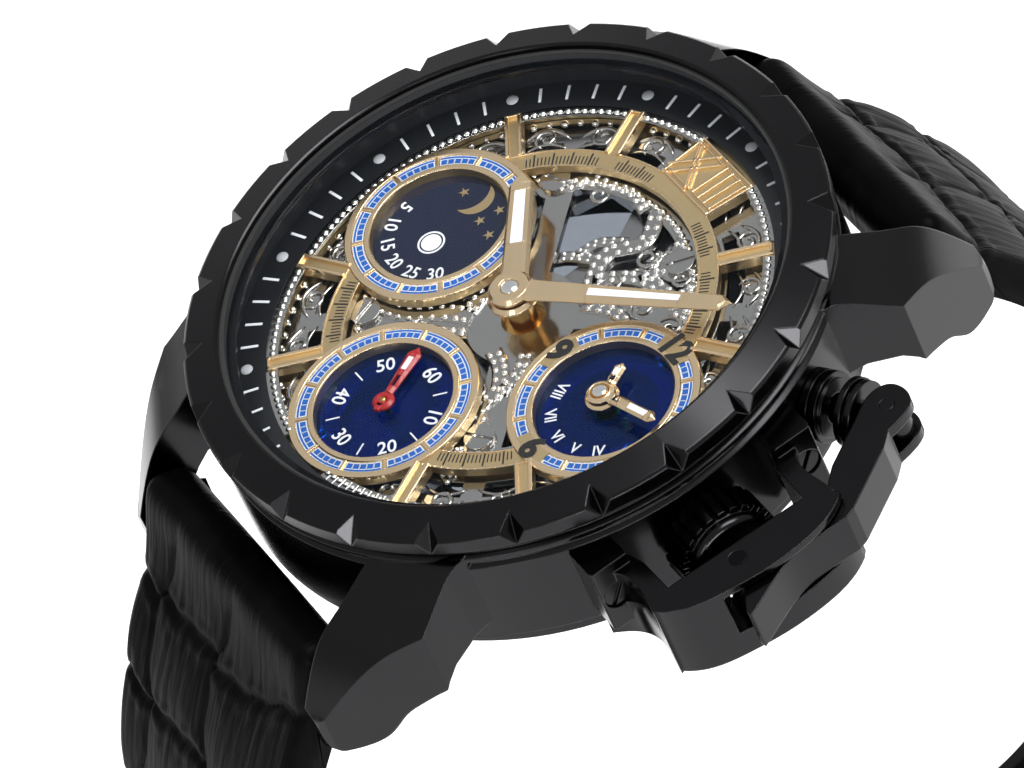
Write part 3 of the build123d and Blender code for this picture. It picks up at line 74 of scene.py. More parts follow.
def surface(name, color, rough, metal=0.0, ior=1.5, coat=0.0, bevel=0.0, grain=None, spread=0.03, brushed=None, emit=None):
    """Principled surface with small procedural colour and roughness variation."""
    m, nt, out = new_mat(name)
    b = nt.nodes.new("ShaderNodeBsdfPrincipled")
    nt.links.new(b.outputs["BSDF"], out.inputs["Surface"])
    b.inputs["Metallic"].default_value = metal
    b.inputs["IOR"].default_value = ior
    b.inputs["Coat Weight"].default_value = coat
    b.inputs["Coat Roughness"].default_value = 0.05
    v = obj_coords(nt, (1, 1, 1))
    n = nt.nodes.new("ShaderNodeTexNoise")
    n.inputs["Scale"].default_value = 260.0
    n.inputs["Detail"].default_value = 3.0
    nt.links.new(v, n.inputs["Vector"])
    ramp = nt.nodes.new("ShaderNodeValToRGB")
    c = color
    ramp.color_ramp.elements[0].position = 0.3
    ramp.color_ramp.elements[1].position = 0.7
    ramp.color_ramp.elements[0].color = (c[0] * (1 - spread), c[1] * (1 - spread), c[2] * (1 - spread), 1)
    ramp.color_ramp.elements[1].color = (min(1, c[0] * (1 + spread)), min(1, c[1] * (1 + spread)), min(1, c[2] * (1 + spread)), 1)
    nt.links.new(n.outputs["Fac"], ramp.inputs["Fac"])
    nt.links.new(ramp.outputs["Color"], b.inputs["Base Color"])
    mr = nt.nodes.new("ShaderNodeMapRange")
    mr.inputs["To Min"].default_value = max(0.02, rough - 0.02)
    mr.inputs["To Max"].default_value = rough + 0.03
    nt.links.new(n.outputs["Fac"], mr.inputs["Value"])
    nt.links.new(mr.outputs["Result"], b.inputs["Roughness"])
    normal = None
    if bevel:
        bv = nt.nodes.new("ShaderNodeBevel")
        bv.samples = 6
        bv.inputs["Radius"].default_value = bevel * MM
        normal = bv.outputs["Normal"]
    if brushed:
        scale, strength, stretch = brushed
        v2 = obj_coords(nt, stretch)
        n2 = nt.nodes.new("ShaderNodeTexNoise")
        n2.inputs["Scale"].default_value = scale
        n2.inputs["Detail"].default_value = 4.0
        nt.links.new(v2, n2.inputs["Vector"])
        bp = nt.nodes.new("ShaderNodeBump")
        bp.inputs["Strength"].default_value = strength
        bp.inputs["Distance"].default_value = 0.00003
        nt.links.new(n2.outputs["Fac"], bp.inputs["Height"])
        if normal:
            nt.links.new(normal, bp.inputs["Normal"])
        normal = bp.outputs["Normal"]
    if grain:
        scale, strength = grain
        n3 = nt.nodes.new("ShaderNodeTexNoise")
        n3.inputs["Scale"].default_value = scale
        n3.inputs["Detail"].default_value = 5.0
        nt.links.new(v, n3.inputs["Vector"])
        bp = nt.nodes.new("ShaderNodeBump")
        bp.inputs["Strength"].default_value = strength
        bp.inputs["Distance"].default_value = 0.00005
        nt.links.new(n3.outputs["Fac"], bp.inputs["Height"])
        if normal:
            nt.links.new(normal, bp.inputs["Normal"])
        normal = bp.outputs["Normal"]
    if normal:
        nt.links.new(normal, b.inputs["Normal"])
    if emit:
        b.inputs["Emission Color"].default_value = (*color, 1)
        b.inputs["Emission Strength"].default_value = emit
    return m


def clear_glass(name, tint, gloss, rough, fac_scale=1.0, diffuse=0.0, diffuse_color=(0, 0, 0)):
    """Thin clear or tinted sheet: transparent with a Fresnel gloss, without refraction."""
    m, nt, out = new_mat(name)
    tr = nt.nodes.new("ShaderNodeBsdfTransparent")
    tr.inputs["Color"].default_value = (*tint, 1)
    gl = nt.nodes.new("ShaderNodeBsdfGlossy")
    gl.inputs["Color"].default_value = (*gloss, 1)
    gl.inputs["Roughness"].default_value = rough
    fr = nt.nodes.new("ShaderNodeFresnel")
    fr.inputs["IOR"].default_value = 1.45
    mul = nt.nodes.new("ShaderNodeMath")
    mul.operation = "MULTIPLY"
    mul.inputs[1].default_value = fac_scale
    nt.links.new(fr.outputs["Fac"], mul.inputs[0])
    geo = nt.nodes.new("ShaderNodeNewGeometry")
    front = nt.nodes.new("ShaderNodeMath")
    front.operation = "SUBTRACT"
    front.inputs[0].default_value = 1.0
    nt.links.new(geo.outputs["Backfacing"], front.inputs[1])
    mul2 = nt.nodes.new("ShaderNodeMath")
    mul2.operation = "MULTIPLY"
    nt.links.new(mul.outputs["Value"], mul2.inputs[0])
    nt.links.new(front.outputs["Value"], mul2.inputs[1])
    mul = mul2
    base = tr.outputs["BSDF"]
    if diffuse:
        df = nt.nodes.new("ShaderNodeBsdfDiffuse")
        n = nt.nodes.new("ShaderNodeTexNoise")
        n.inputs["Scale"].default_value = 400.0
        nt.links.new(obj_coords(nt), n.inputs["Vector"])
        ramp = nt.nodes.new("ShaderNodeValToRGB")
        ramp.color_ramp.elements[0].color = (*[k * 0.9 for k in diffuse_color], 1)
        ramp.color_ramp.elements[1].color = (*[min(1, k * 1.1) for k in diffuse_color], 1)
        nt.links.new(n.outputs["Fac"], ramp.inputs["Fac"])
        nt.links.new(ramp.outputs["Color"], df.inputs["Color"])
        mx = nt.nodes.new("ShaderNodeMixShader")
        mx.inputs["Fac"].default_value = diffuse
        nt.links.new(base, mx.inputs[1])
        nt.links.new(df.outputs["BSDF"], mx.inputs[2])
        base = mx.outputs["Shader"]
    mix = nt.nodes.new("ShaderNodeMixShader")
    nt.links.new(mul.outputs["Value"], mix.inputs["Fac"])
    nt.links.new(base, mix.inputs[1])
    nt.links.new(gl.outputs["BSDF"], mix.inputs[2])
    nt.links.new(mix.outputs["Shader"], out.inputs["Surface"])
    return m


def leather(name):
    m, nt, out = new_mat(name)
    b = nt.nodes.new("ShaderNodeBsdfPrincipled")
    nt.links.new(b.outputs["BSDF"], out.inputs["Surface"])
    v = obj_coords(nt, (1, 1, 1))
    n = nt.nodes.new("ShaderNodeTexNoise")
    n.inputs["Scale"].default_value = 350.0
    n.inputs["Detail"].default_value = 4.0
    nt.links.new(v, n.inputs["Vector"])
    ramp = nt.nodes.new("ShaderNodeValToRGB")
    ramp.color_ramp.elements[0].position = 0.3
    ramp.color_ramp.elements[1].position = 0.75
    ramp.color_ramp.elements[0].color = (0.0016, 0.0016, 0.0018, 1)
    ramp.color_ramp.elements[1].color = (0.0036, 0.0036, 0.0039, 1)
    nt.links.new(n.outputs["Fac"], ramp.inputs["Fac"])
    nt.links.new(ramp.outputs["Color"], b.inputs["Base Color"])
    mr = nt.nodes.new("ShaderNodeMapRange")
    mr.inputs["To Min"].default_value = 0.36
    mr.inputs["To Max"].default_value = 0.5
    nt.links.new(n.outputs["Fac"], mr.inputs["Value"])
    nt.links.new(mr.outputs["Result"], b.inputs["Roughness"])
    b.inputs["IOR"].default_value = 1.15
    b.inputs["Specular IOR Level"].default_value = 0.2
    # fine wrinkles along the strap, and pores
    v2 = obj_coords(nt, (1.0, 0.1, 0.1))
    n2 = nt.nodes.new("ShaderNodeTexNoise")
    n2.inputs["Scale"].default_value = 1500.0
    n2.inputs["Detail"].default_value = 3.0
    n2.inputs["Distortion"].default_value = 0.6
    nt.links.new(v2, n2.inputs["Vector"])
    b1 = nt.nodes.new("ShaderNodeBump")
    b1.inputs["Strength"].default_value = 0.7
    b1.inputs["Distance"].default_value = 0.00014
    nt.links.new(n2.outputs["Fac"], b1.inputs["Height"])
    n3 = nt.nodes.new("ShaderNodeTexNoise")
    n3.inputs["Scale"].default_value = 3200.0
    nt.links.new(v, n3.inputs["Vector"])
    b2 = nt.nodes.new("ShaderNodeBump")
    b2.inputs["Strength"].default_value = 0.25
    b2.inputs["Distance"].default_value = 0.00004
    nt.links.new(n3.outputs["Fac"], b2.inputs["Height"])
    nt.links.new(b1.outputs["Normal"], b2.inputs["Normal"])
    nt.links.new(b2.outputs["Normal"], b.inputs["Normal"])
    return m


BLACK = surface("black_coating", (0.024, 0.024, 0.0252), 0.19, metal=1.0, bevel=0.14)
BLACK_SOFT = surface("black_coating_soft", (0.011, 0.011, 0.012), 0.3, metal=1.0, bevel=0.1)
RING = surface("ring_black", (0.006, 0.0065, 0.0075), 0.34, metal=0.0, grain=(9000, 0.15))
GOLD = surface("gold_polished", (0.96, 0.73, 0.45), 0.22, metal=1.0, bevel=0.05)
GOLD_BRUSH = surface("gold_brushed", (0.69, 0.52, 0.28), 0.34, metal=1.0, brushed=(9000, 0.6, (1, 0.12, 1)))
BRASS = surface("brass_gears", (0.66, 0.40, 0.13), 0.2, metal=1.0, bevel=0.03)
SILVER = surface("bright_plate", (0.47, 0.46, 0.44), 0.13, metal=1.0, bevel=0.08)
SILVER2 = surface("bright_ornament", (0.86, 0.85, 0.82), 0.07, metal=1.0)
STEEL = surface("movement_steel", (0.36, 0.36, 0.36), 0.22, metal=1.0, brushed=(5000, 0.4, (0.1, 1, 1)), bevel=0.04)
WHITE = surface("white_print", (0.80, 0.82, 0.85), 0.5)
GREY = surface("grey_print", (0.42, 0.43, 0.45), 0.5)
LUME = surface("lume", (0.80, 0.82, 0.88), 0.55)
INK = surface("black_print", (0.01, 0.01, 0.01), 0.4)
TRACK = surface("track_blue", (0.006, 0.1, 0.42), 0.4)
RED = surface("red_hand", (0.36, 0.012, 0.012), 0.3, bevel=0.05)
NAVY = surface("moon_navy", (0.0022, 0.007, 0.028), 0.12, coat=0.2)
RUBY = surface("ruby", (0.45, 0.01, 0.05), 0.1)
RUBBER = surface("gasket_rubber", (0.02, 0.02, 0.02), 0.6)
BLUE = clear_glass("disc_blue", (0.03, 0.27, 0.8), (0.5, 0.75, 1.0), 0.04, 0.6, 0.16, (0.002, 0.03, 0.17))
CRYSTAL = clear_glass("crystal", (0.985, 0.99, 0.995), (0.75, 0.85, 1.0), 0.0, 0.3)
BACK_GLASS = clear_glass("back_glass", (0.42, 0.44, 0.47), (1, 1, 1), 0.0, 0.6)
LEATHER = leather("leather_black")

node_mats = {
    "case_middle": BLACK, "bezel": BLACK, "crystal": CRYSTAL, "gaskets": RUBBER, "case_back": BLACK, "case_back_glass": BACK_GLASS,
    "movement_holder": BLACK_SOFT, "chapter_ring": RING, "dial_frame": GOLD_BRUSH, "moon_disc": NAVY, "seconds_disc": BLUE,
    "dual_time_disc": BLUE, "front_plate": SILVER, "mainplate": STEEL, "train_bridge": STEEL, "barrel_bridge": STEEL,
    "balance_cock": STEEL, "jewels": RUBY, "movement_screws": SILVER, "mainspring_barrel": BRASS, "mainspring": STEEL,
    "ratchet_wheel": STEEL, "crown_wheel": STEEL, "click": STEEL, "centre_wheel": BRASS, "third_wheel": BRASS,
    "fourth_wheel": BRASS, "escape_wheel": STEEL, "pallet_fork": STEEL, "balance_wheel": BRASS, "hairspring": STEEL,
    "cannon_pinion": BRASS, "minute_wheel": BRASS, "hour_wheel": BRASS, "dual_time_idler": BRASS, "dual_cannon_pinion": BRASS,
    "dual_minute_wheel": BRASS, "dual_hour_wheel": BRASS, "hour_hand": GOLD, "minute_hand": GOLD, "seconds_hand": RED,
    "dual_hour_hand": GOLD, "dual_minute_hand": GOLD, "winding_stem": STEEL, "setting_lever": STEEL, "crown_tube": STEEL,
    "crown": BLACK, "crown_guard_bridge": BLACK, "guard_screws": BLACK, "trigger_pivot_pin": BLACK_SOFT, "trigger_lever": BLACK,
    "fork_roller": BLACK, "pusher_tube": BLACK, "pusher": BLACK, "spring_bars": BLACK_SOFT, "buckle_frame": BLACK,
    "buckle_tongue": BLACK,
}
for name, m in node_mats.items():
    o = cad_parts[name]
    o.data.materials.clear()
    o.data.materials.append(m)


# ---------------------------------------------------------------- mesh building
class Batch:
    """Collects simple solids, in millimetres, into one mesh."""

    def __init__(self):
        self.v, self.f, self.s = [], [], []

    def add(self, verts, faces, smooth=False):
        k = len(self.v)
        self.v += [tuple(p) for p in verts]
        self.f += [tuple(i + k for i in f) for f in faces]
        self.s += [smooth] * len(faces)

    def prism(self, pts, z0, z1, bevel=0.0):
        """Prism from an outline; with bevel the top edge is set in and lowered."""
        n = len(pts)
        if bevel:
            cx, cy = sum(p[0] for p in pts) / n, sum(p[1] for p in pts) / n
            inner = []
            for i in range(n):
                a, b, c = pts[i - 1], pts[i], pts[(i + 1) % n]
                d1 = Vector((b[0] - a[0], b[1] - a[1])).normalized()
                d2 = Vector((c[0] - b[0], c[1] - b[1])).normalized()
                nn = Vector((-(d1.y + d2.y), d1.x + d2.x))
                if nn.length < 1e-6:
                    nn = Vector((-d1.y, d1.x))
                nn.normalize()
                inner.append((b[0] + nn.x * bevel, b[1] + nn.y * bevel))
            v = [(x, y, z0) for x, y in pts] + [(x, y, z1 - bevel * 0.7) for x, y in pts] + [(x, y, z1) for x, y in inner]
            f = [tuple(range(n))[::-1], tuple(range(2 * n, 3 * n))]
            for i in range(n):
                j = (i + 1) % n
                f += [(i, j, n + j, n + i), (n + i, n + j, 2 * n + j, 2 * n + i)]
        else:
            v = [(x, y, z0) for x, y in pts] + [(x, y, z1) for x, y in pts]
            f = [tuple(range(n))[::-1], tuple(range(n, 2 * n))]
            for i in range(n):
                j = (i + 1) % n
                f.append((i, j, n + j, n + i))
        self.add(v, f)

    def bar(self, p, q, w, z0, z1, bevel=0.0):
        """Straight bar from p to q in plan, width w."""
        d = Vector((q[0] - p[0], q[1] - p[1])).normalized() * (w / 2)
        self.prism([(p[0] + d.y, p[1] - d.x), (q[0] + d.y, q[1] - d.x), (q[0] - d.y, q[1] + d.x), (p[0] - d.y, p[1] + d.x)], z0, z1, bevel)

    def sector(self, c, r0, r1, a0, a1, z0, z1, n=None):
        n = n or max(2, int(abs(a1 - a0) / 4) + 1)
        A = [radians(a0 + (a1 - a0) * k / n) for k in range(n + 1)]
        v = []
        for a in A:
            for r in (r0, r1):
                for z in (z0, z1):
                    v.append((c[0] + r * cos(a), c[1] + r * sin(a), z))
        f = []
        for k in range(n):
            i, j = 4 * k, 4 * k + 4
            f += [(i + 1, i + 3, j + 3, j + 1), (i, j, j + 2, i + 2), (i, i + 1, j + 1, j), (i + 2, j + 2, j + 3, i + 3)]
        if abs(a1 - a0) < 359.9:
            e = 4 * n
            f += [(0, 2, 3, 1), (e, e + 1, e + 3, e + 2)]
        self.add(v, f)

    def dome(self, c, r, z, h=None, n=12, m=4):
        """A bead: half ball of radius r standing on z."""
        h = h or r
        v = [(c[0], c[1], z + h)]
        for i in range(1, m + 1):
            t = pi / 2 * i / m
            for k in range(n):
                a = 2 * pi * k / n
                v.append((c[0] + r * sin(t) * cos(a), c[1] + r * sin(t) * sin(a), z + h * cos(t)))
        f = [(0, 1 + k, 1 + (k + 1) % n) for k in range(n)]
        for i in range(m - 1):
            for k in range(n):
                a, b = 1 + i * n + k, 1 + i * n + (k + 1) % n
                f.append((a, a + n, b + n, b))
        self.add(v, f, True)

    def tube(self, path, r, n=8, taper=True, flat=1.0):
        """A round ridge along a 3-D path."""
        pts = [Vector(p) for p in path]
        v, f = [], []
        N = len(pts)
        for i, p in enumerate(pts):
            t = (pts[min(i + 1, N - 1)] - pts[max(i - 1, 0)]).normalized()
            s = Vector((-t.y, t.x, 0)).normalized()
            rr = r
            if taper:
                u = i / (N - 1)
                rr = r * min(1.0, 0.25 + 5 * u, 0.25 + 5 * (1 - u))
            for k in range(n):
                a = 2 * pi * k / n
                v.append(p + s * (rr * cos(a)) + Vector((0, 0, 1)) * (rr * sin(a) * flat))
        for i in range(N - 1):
            for k in range(n):
                a, b = i * n + k, i * n + (k + 1) % n
                f.append((a, b, b + n, a + n))
        f += [tuple(range(n))[::-1], tuple(range((N - 1) * n, N * n))]
        self.add(v, f, True)

    def make(self, name, material, body, replaces=(), slot=None, smooth_angle=None):
        me = bpy.data.meshes.new(name)
        me.from_pydata([(x * MM, y * MM, z * MM) for x, y, z in self.v], [], self.f)
        me.polygons.foreach_set("use_smooth", self.s)
        me.materials.append(material)
        me.update()
        o = bpy.data.objects.new(name, me)
        bpy.context.scene.collection.objects.link(o)
        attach(o, body)
        if replaces:
            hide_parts(*replaces)
        return o


def smooth_path(ctrl, per=8, closed=False):
    """Catmull-Rom curve through control points."""
    c = [np.array(p, float) for p in ctrl]
    n = len(c)
    out = []
    for i in range(n if closed else n - 1):
        p0 = c[(i - 1) % n] if closed or i > 0 else 2 * c[0] - c[1]
        p1, p2 = c[i], c[(i + 1) % n]
        p3 = c[(i + 2) % n] if closed or i + 2 < n else 2 * c[-1] - c[-2]
        for k in range(per):
            t = k / per
            out.append(0.5 * ((2 * p1) + (-p0 + p2) * t + (2 * p0 - 5 * p1 + 4 * p2 - p3) * t * t + (-p0 + 3 * p1 - 3 * p2 + p3) * t ** 3))
    if not closed:
        out.append(c[-1])
    return out


def text_mesh(s, size, bold=0.0):
    cu = bpy.data.curves.new("t", "FONT")
    cu.body = s
    cu.size = size
    cu.align_x = "CENTER"
    cu.align_y = "CENTER"
    cu.offset = bold
    cu.resolution_u = 4
    cu.extrude = 0.02
    ob = bpy.data.objects.new("t", cu)
    bpy.context.scene.collection.objects.link(ob)
    dg = bpy.context.evaluated_depsgraph_get()
    dg.update()
    me = bpy.data.meshes.new_from_object(ob.evaluated_get(dg))
    v = [tuple(p.co) for p in me.vertices]
    f = [tuple(p.vertices) for p in me.polygons]
    bpy.data.objects.remove(ob)
    bpy.data.curves.remove(cu)
    bpy.data.meshes.remove(me)
    return v, f


def put_text(batch, s, size, c, rot, z, bold=0.0, sx=1.0):
    """Adds text centred at c, its up direction turned by rot degrees from +Y."""
    v, f = text_mesh(s, size, bold)
    a = radians(rot)
    batch.add([(c[0] + x * sx * cos(a) - y * sin(a), c[1] + x * sx * sin(a) + y * cos(a), z + h) for x, y, h in v], f)


# ---------------------------------------------------------------- chapter ring prints
b, g = Batch(), Batch()
for i in range(60):
    a = 90 - 6 * i
    if i % 5:
        b.bar(P(17.75, a), P(18.95, a), 0.19, TOP, TOP + 0.03)
    else:
        g.dome(P(18.45, a), 0.42, TOP, 0.14, n=20, m=5)
b.make("minute_ticks", WHITE, "case")
g.make("hour_dots", GREY, "case")

# ---------------------------------------------------------------- dial frame details
ticks = Batch()
for i in range(300):
    a = 90 - 1.2 * i
    p = P(12.75, a)
    if any((p[0] - c[0]) ** 2 + (p[1] - c[1]) ** 2 < 6.9 ** 2 for c in (MOON_C, SEC_C, DUAL_C)):
        continue
    if any(abs((a - (90 - q) + 180) % 360 - 180) < 2.6 for q in (30, 60, 120, 150, 210, 240, 300, 330)) or abs((a - 90 + 180) % 360 - 180) < 13:
        continue
    ticks.bar(P(12.2 if i % 5 else 12.12, a), P(12.85 if i % 5 else 13.15, a), 0.085 if i % 5 else 0.12, 8.92, 8.935)
ticks.make("graduation_ticks", INK, "case")

rails = Batch()
for q in (30, 60, 120, 150, 210, 240, 300, 330):
    a = 90 - q
    s = Vector((-sin(radians(a)), cos(radians(a))))
    r0, r1 = 13.3, 17.05
    for c in (MOON_C, SEC_C, DUAL_C):
        for k in range(40):
            r = 13.3 + k * 0.1
            p = P(r, a)
            if (p[0] - c[0]) ** 2 + (p[1] - c[1]) ** 2 < 6.5 ** 2:
                r0 = max(r0, r)
    for d in (-0.44, 0.44):
        p, t = P(r0, a), P(r1, a)
        rails.bar((p[0] + s.x * d, p[1] + s.y * d), (t[0] + s.x * d, t[1] + s.y * d), 0.27, 8.9, 9.16, 0.07)
    p, t = P(r1 - 0.2, a), P(r1, a)
    rails.bar(p, t, 1.1, 8.9, 9.16, 0.05)
# XII with raised outlines
def stroke(p, q, w):
    d = Vector((q[0] - p[0], q[1] - p[1])).normalized() * (w / 2)
    for k in (-1, 1):
        rails.bar((p[0] + k * d.y, p[1] - k * d.x), (q[0] + k * d.y, q[1] - k * d.x), 0.17, 8.9, 9.12, 0.04)
stroke((-2.75, 13.5), (-0.45, 16.35), 0.72)
stroke((-0.25, 13.5), (-2.75, 16.35), 0.3)
stroke((0.72, 13.5), (0.78, 16.35), 0.72)
stroke((2.1, 13.5), (2.3, 16.35), 0.72)
for x0, x1, y in ((-2.95, -0.05, 16.62), (0.2, 2.95, 16.62), (-2.9, -0.05, 13.2), (0.15, 2.75, 13.2)):
    rails.bar((x0, y), (x1, y), 0.17, 8.9, 9.12, 0.04)
    rails.bar((x0, y - 0.34 * (1 if y > 15 else -1)), (x1, y - 0.34 * (1 if y > 15 else -1)), 0.13, 8.9, 9.1, 0.03)
rails.bar((-3.02, 16.7), (-2.72, 13.05), 0.14, 8.9, 9.1, 0.03)
rails.bar((3.02, 16.7), (2.72, 13.05), 0.14, 8.9, 9.1, 0.03)
# edges of the graduated ring
for c0, r0, r1 in (((0, 0), 12.0, 12.1), ((0, 0), 13.3, 13.42)):
    for k in range(180):
        a = 2 * k
        p = P((r0 + r1) / 2, a + 1)
        if any((p[0] - c[0]) ** 2 + (p[1] - c[1]) ** 2 < 6.45 ** 2 for c in (MOON_C, SEC_C, DUAL_C)):
            continue
        if r0 > 13 and abs(a + 1 - 90) < 12.6:
            continue
        rails.sector(c0, r0, r1, a, a + 2, 8.9, 8.97, 1)
# subdial rims: half-round ridges, and the sector dividers
for c in (MOON_C, SEC_C, DUAL_C):
    for k in range(12):
        a = 90 - 30 * k
        rails.bar((c[0] + 5.1 * cos(radians(a)), c[1] + 5.1 * sin(radians(a))), (c[0] + 6.0 * cos(radians(a)), c[1] + 6.0 * sin(radians(a))), 0.2, 8.9, 9.02, 0.04)
rails.make("dial_rails", GOLD, "case")

rims = Batch()
for c in (MOON_C, SEC_C, DUAL_C):
    for r0, r1 in ((4.73, 5.16), (5.95, 6.49)):
        prof = [(r0, 8.85), (r0, 9.0), (r0 + 0.07, 9.07), (r1 - 0.07, 9.07), (r1, 9.0), (r1, 8.85)]
        n = 120
        v, f = [], []
        for k in range(n):
            a = 2 * pi * k / n
            for r, z in prof:
                v.append((c[0] + r * cos(a), c[1] + r * sin(a), z))
        for k in range(n):
            for j in range(5):
                p, q = k * 6 + j, ((k + 1) % n) * 6 + j
                f.append((p, p + 1, q + 1, q))
        if c != DUAL_C or r0 < 5:
            rims.add(v, f, False)
        else:
            # this rim stops at the chapter ring
            keep = []
            for quad in f:
                if all(v[i][0] ** 2 + v[i][1] ** 2 < 17.15 ** 2 for i in quad):
                    keep.append(quad)
            rims.add(v, keep, False)
rims.make("subdial_rims", GOLD, "case")

white, blue = Batch(), Batch()
for c in (MOON_C, SEC_C, DUAL_C):
    for k in range(12):
        for j in range(5):
            a0 = 90 - 30 * k - 2.2 - j * 5.12
            a1 = a0 - 5.12
            mid = (a0 + a1) / 2
            p = (c[0] + 5.95 * cos(radians(mid)), c[1] + 5.95 * sin(radians(mid)))
            if p[0] ** 2 + p[1] ** 2 > 17.1 ** 2:
                continue
            if c == DUAL_C and min(abs((mid - q + 180) % 360 - 180) for q in (90, 180, 270)) < 14:
                continue
            white.sector(c, 5.17, 5.94, a1 - 0.2, a0 + 0.2, 8.9, 8.93, 2)
            blue.sector(c, 5.27, 5.66, a1 + 0.55, a0 - 0.55, 8.92, 8.945, 2)
        a0, a1 = 90 - 30 * k - 2.2, 90 - 30 * k - 27.8
        for j in range(8):
            b0, b1 = a0 + (a1 - a0) * j / 8, a0 + (a1 - a0) * (j + 1) / 8
            mid = (b0 + b1) / 2
            p = (c[0] + 5.95 * cos(radians(mid)), c[1] + 5.95 * sin(radians(mid)))
            if p[0] ** 2 + p[1] ** 2 > 17.1 ** 2:
                continue
            if c == DUAL_C and min(abs((mid - q + 180) % 360 - 180) for q in (90, 180, 270)) < 14:
                continue
            blue.sector(c, 5.73, 5.87, b1, b0, 8.92, 8.945, 2)
white.make("track_white", WHITE, "case")
blue.make("track_blocks", TRACK, "case")

# ---------------------------------------------------------------- numerals and prints
dual_gold, dual_num = Batch(), Batch()
for q in (90, 180, 270):
    dual_gold.sector(DUAL_C, 4.95, 6.25, q - 14, q + 14, 8.9, 9.05, 8)
for s, q, sx in (("12", 90, 0.92), ("9", 180, 1.0), ("6", 270, 1.0)):
    r = 5.62
    put_text(dual_num, s, 2.55, (DUAL_C[0] + r * cos(radians(q)), DUAL_C[1] + r * sin(radians(q))), 0, 9.09, 0.09, sx)
dual_gold.make("dual_numeral_grounds", GOLD_BRUSH, "case")
dual_num.make("dual_numerals", INK, "case")

prints = Batch()
for s, q in (("60", 90), ("10", 30), ("20", -30), ("30", -90), ("40", -150), ("50", 150)):
    c = (SEC_C[0] + 3.55 * cos(radians(q)), SEC_C[1] + 3.55 * sin(radians(q)))
    up = q - 90 if s in ("60", "10", "50") else q + 90
    put_text(prints, s, 1.45, c, up, 8.32, 0.012, 0.92)
for q in (60, 0, -60, -120, 180, 120):
    prints.bar((SEC_C[0] + 3.15 * cos(radians(q)), SEC_C[1] + 3.15 * sin(radians(q))), (SEC_C[0] + 4.1 * cos(radians(q)), SEC_C[1] + 4.1 * sin(radians(q))), 0.1, 8.3, 8.33)
for s, q in (("VIII", 205), ("VII", 237), ("VI", 267), ("V", 294), ("IV", 320)):
    c = (DUAL_C[0] + 3.75 * cos(radians(q)), DUAL_C[1] + 3.75 * sin(radians(q)))
    put_text(prints, s, 1.15, c, q + 90, 8.32, 0.012, 0.85)
for s, q in (("5", 190), ("10", 214), ("15", 241), ("20", 268), ("25", 295), ("30", 322)):
    c = (MOON_C[0] + 3.75 * cos(radians(q)), MOON_C[1] + 3.75 * sin(radians(q)))
    put_text(prints, s, 1.35, c, q + 90, 8.32, 0.012, 0.9)
# a plain full moon in place of the mark
mc = (MOON_C[0] + 0.35, MOON_C[1] - 1.05)
prints.sector(mc, 0.82, 0.95, 0, 360, 8.3, 8.33, 40)
prints.sector(mc, 0.0, 0.7, 0, 360, 8.3, 8.33, 40)
prints.make("disc_prints", WHITE, "case")

moon = Batch()
def arc3(p, q, r, n=24):
    ax, ay, bx, by, cx, cy = *p, *q, *r
    d = 2 * (ax * (by - cy) + bx * (cy - ay) + cx * (ay - by))
    ux = ((ax ** 2 + ay ** 2) * (by - cy) + (bx ** 2 + by ** 2) * (cy - ay) + (cx ** 2 + cy ** 2) * (ay - by)) / d
    uy = ((ax ** 2 + ay ** 2) * (cx - bx) + (bx ** 2 + by ** 2) * (ax - cx) + (cx ** 2 + cy ** 2) * (bx - ax)) / d
    R = sqrt((ax - ux) ** 2 + (ay - uy) ** 2)
    a0, a1, a2 = atan2(ay - uy, ax - ux), atan2(by - uy, bx - ux), atan2(cy - uy, cx - ux)
    def fix(a, ref, sign):
        while sign * (a - ref) < 0:
            a += sign * 2 * pi
        return a
    for sign in (1, -1):
        m1 = fix(a1, a0, sign)
        m2 = fix(a2, a0, sign)
        if abs(m1 - a0) < abs(m2 - a0):
            break
    return [(ux + R * cos(a0 + (m2 - a0) * k / n), uy + R * sin(a0 + (m2 - a0) * k / n)) for k in range(n + 1)]
t1, t2 = (-0.7 * 1.1, 1.55 * 1.1), (-0.8 * 1.1, 4.05 * 1.1)
outer = arc3(t1, (0.55 * 1.1, 2.95 * 1.1), t2)
inner = arc3(t2, (-0.12 * 1.1, 2.85 * 1.1), t1)
cres = [(MOON_C[0] + x, MOON_C[1] + y) for x, y in outer + inner[1:-1]]
n = len(outer)
v = [(MOON_C[0] + x, MOON_C[1] + y, 8.33) for x, y in outer] + [(MOON_C[0] + x, MOON_C[1] + y, 8.33) for x, y in inner[::-1]]
f = [(i, i + 1, n + i + 1, n + i) for i in range(n - 1)]
moon.add(v, f)
for x, y in ((-1.6, 2.6), (1.3, 3.4), (1.1, 2.1), (2.5, 1.9)):
    pts = []
    for k in range(10):
        r = 0.42 if k % 2 == 0 else 0.16
        a = radians(90 + 36 * k)
        pts.append((MOON_C[0] + x * 1.1 + r * cos(a), MOON_C[1] + y * 1.1 + r * sin(a)))
    moon.prism(pts, 8.3, 8.33)
moon.make("moon_and_stars", GOLD_BRUSH, "case")

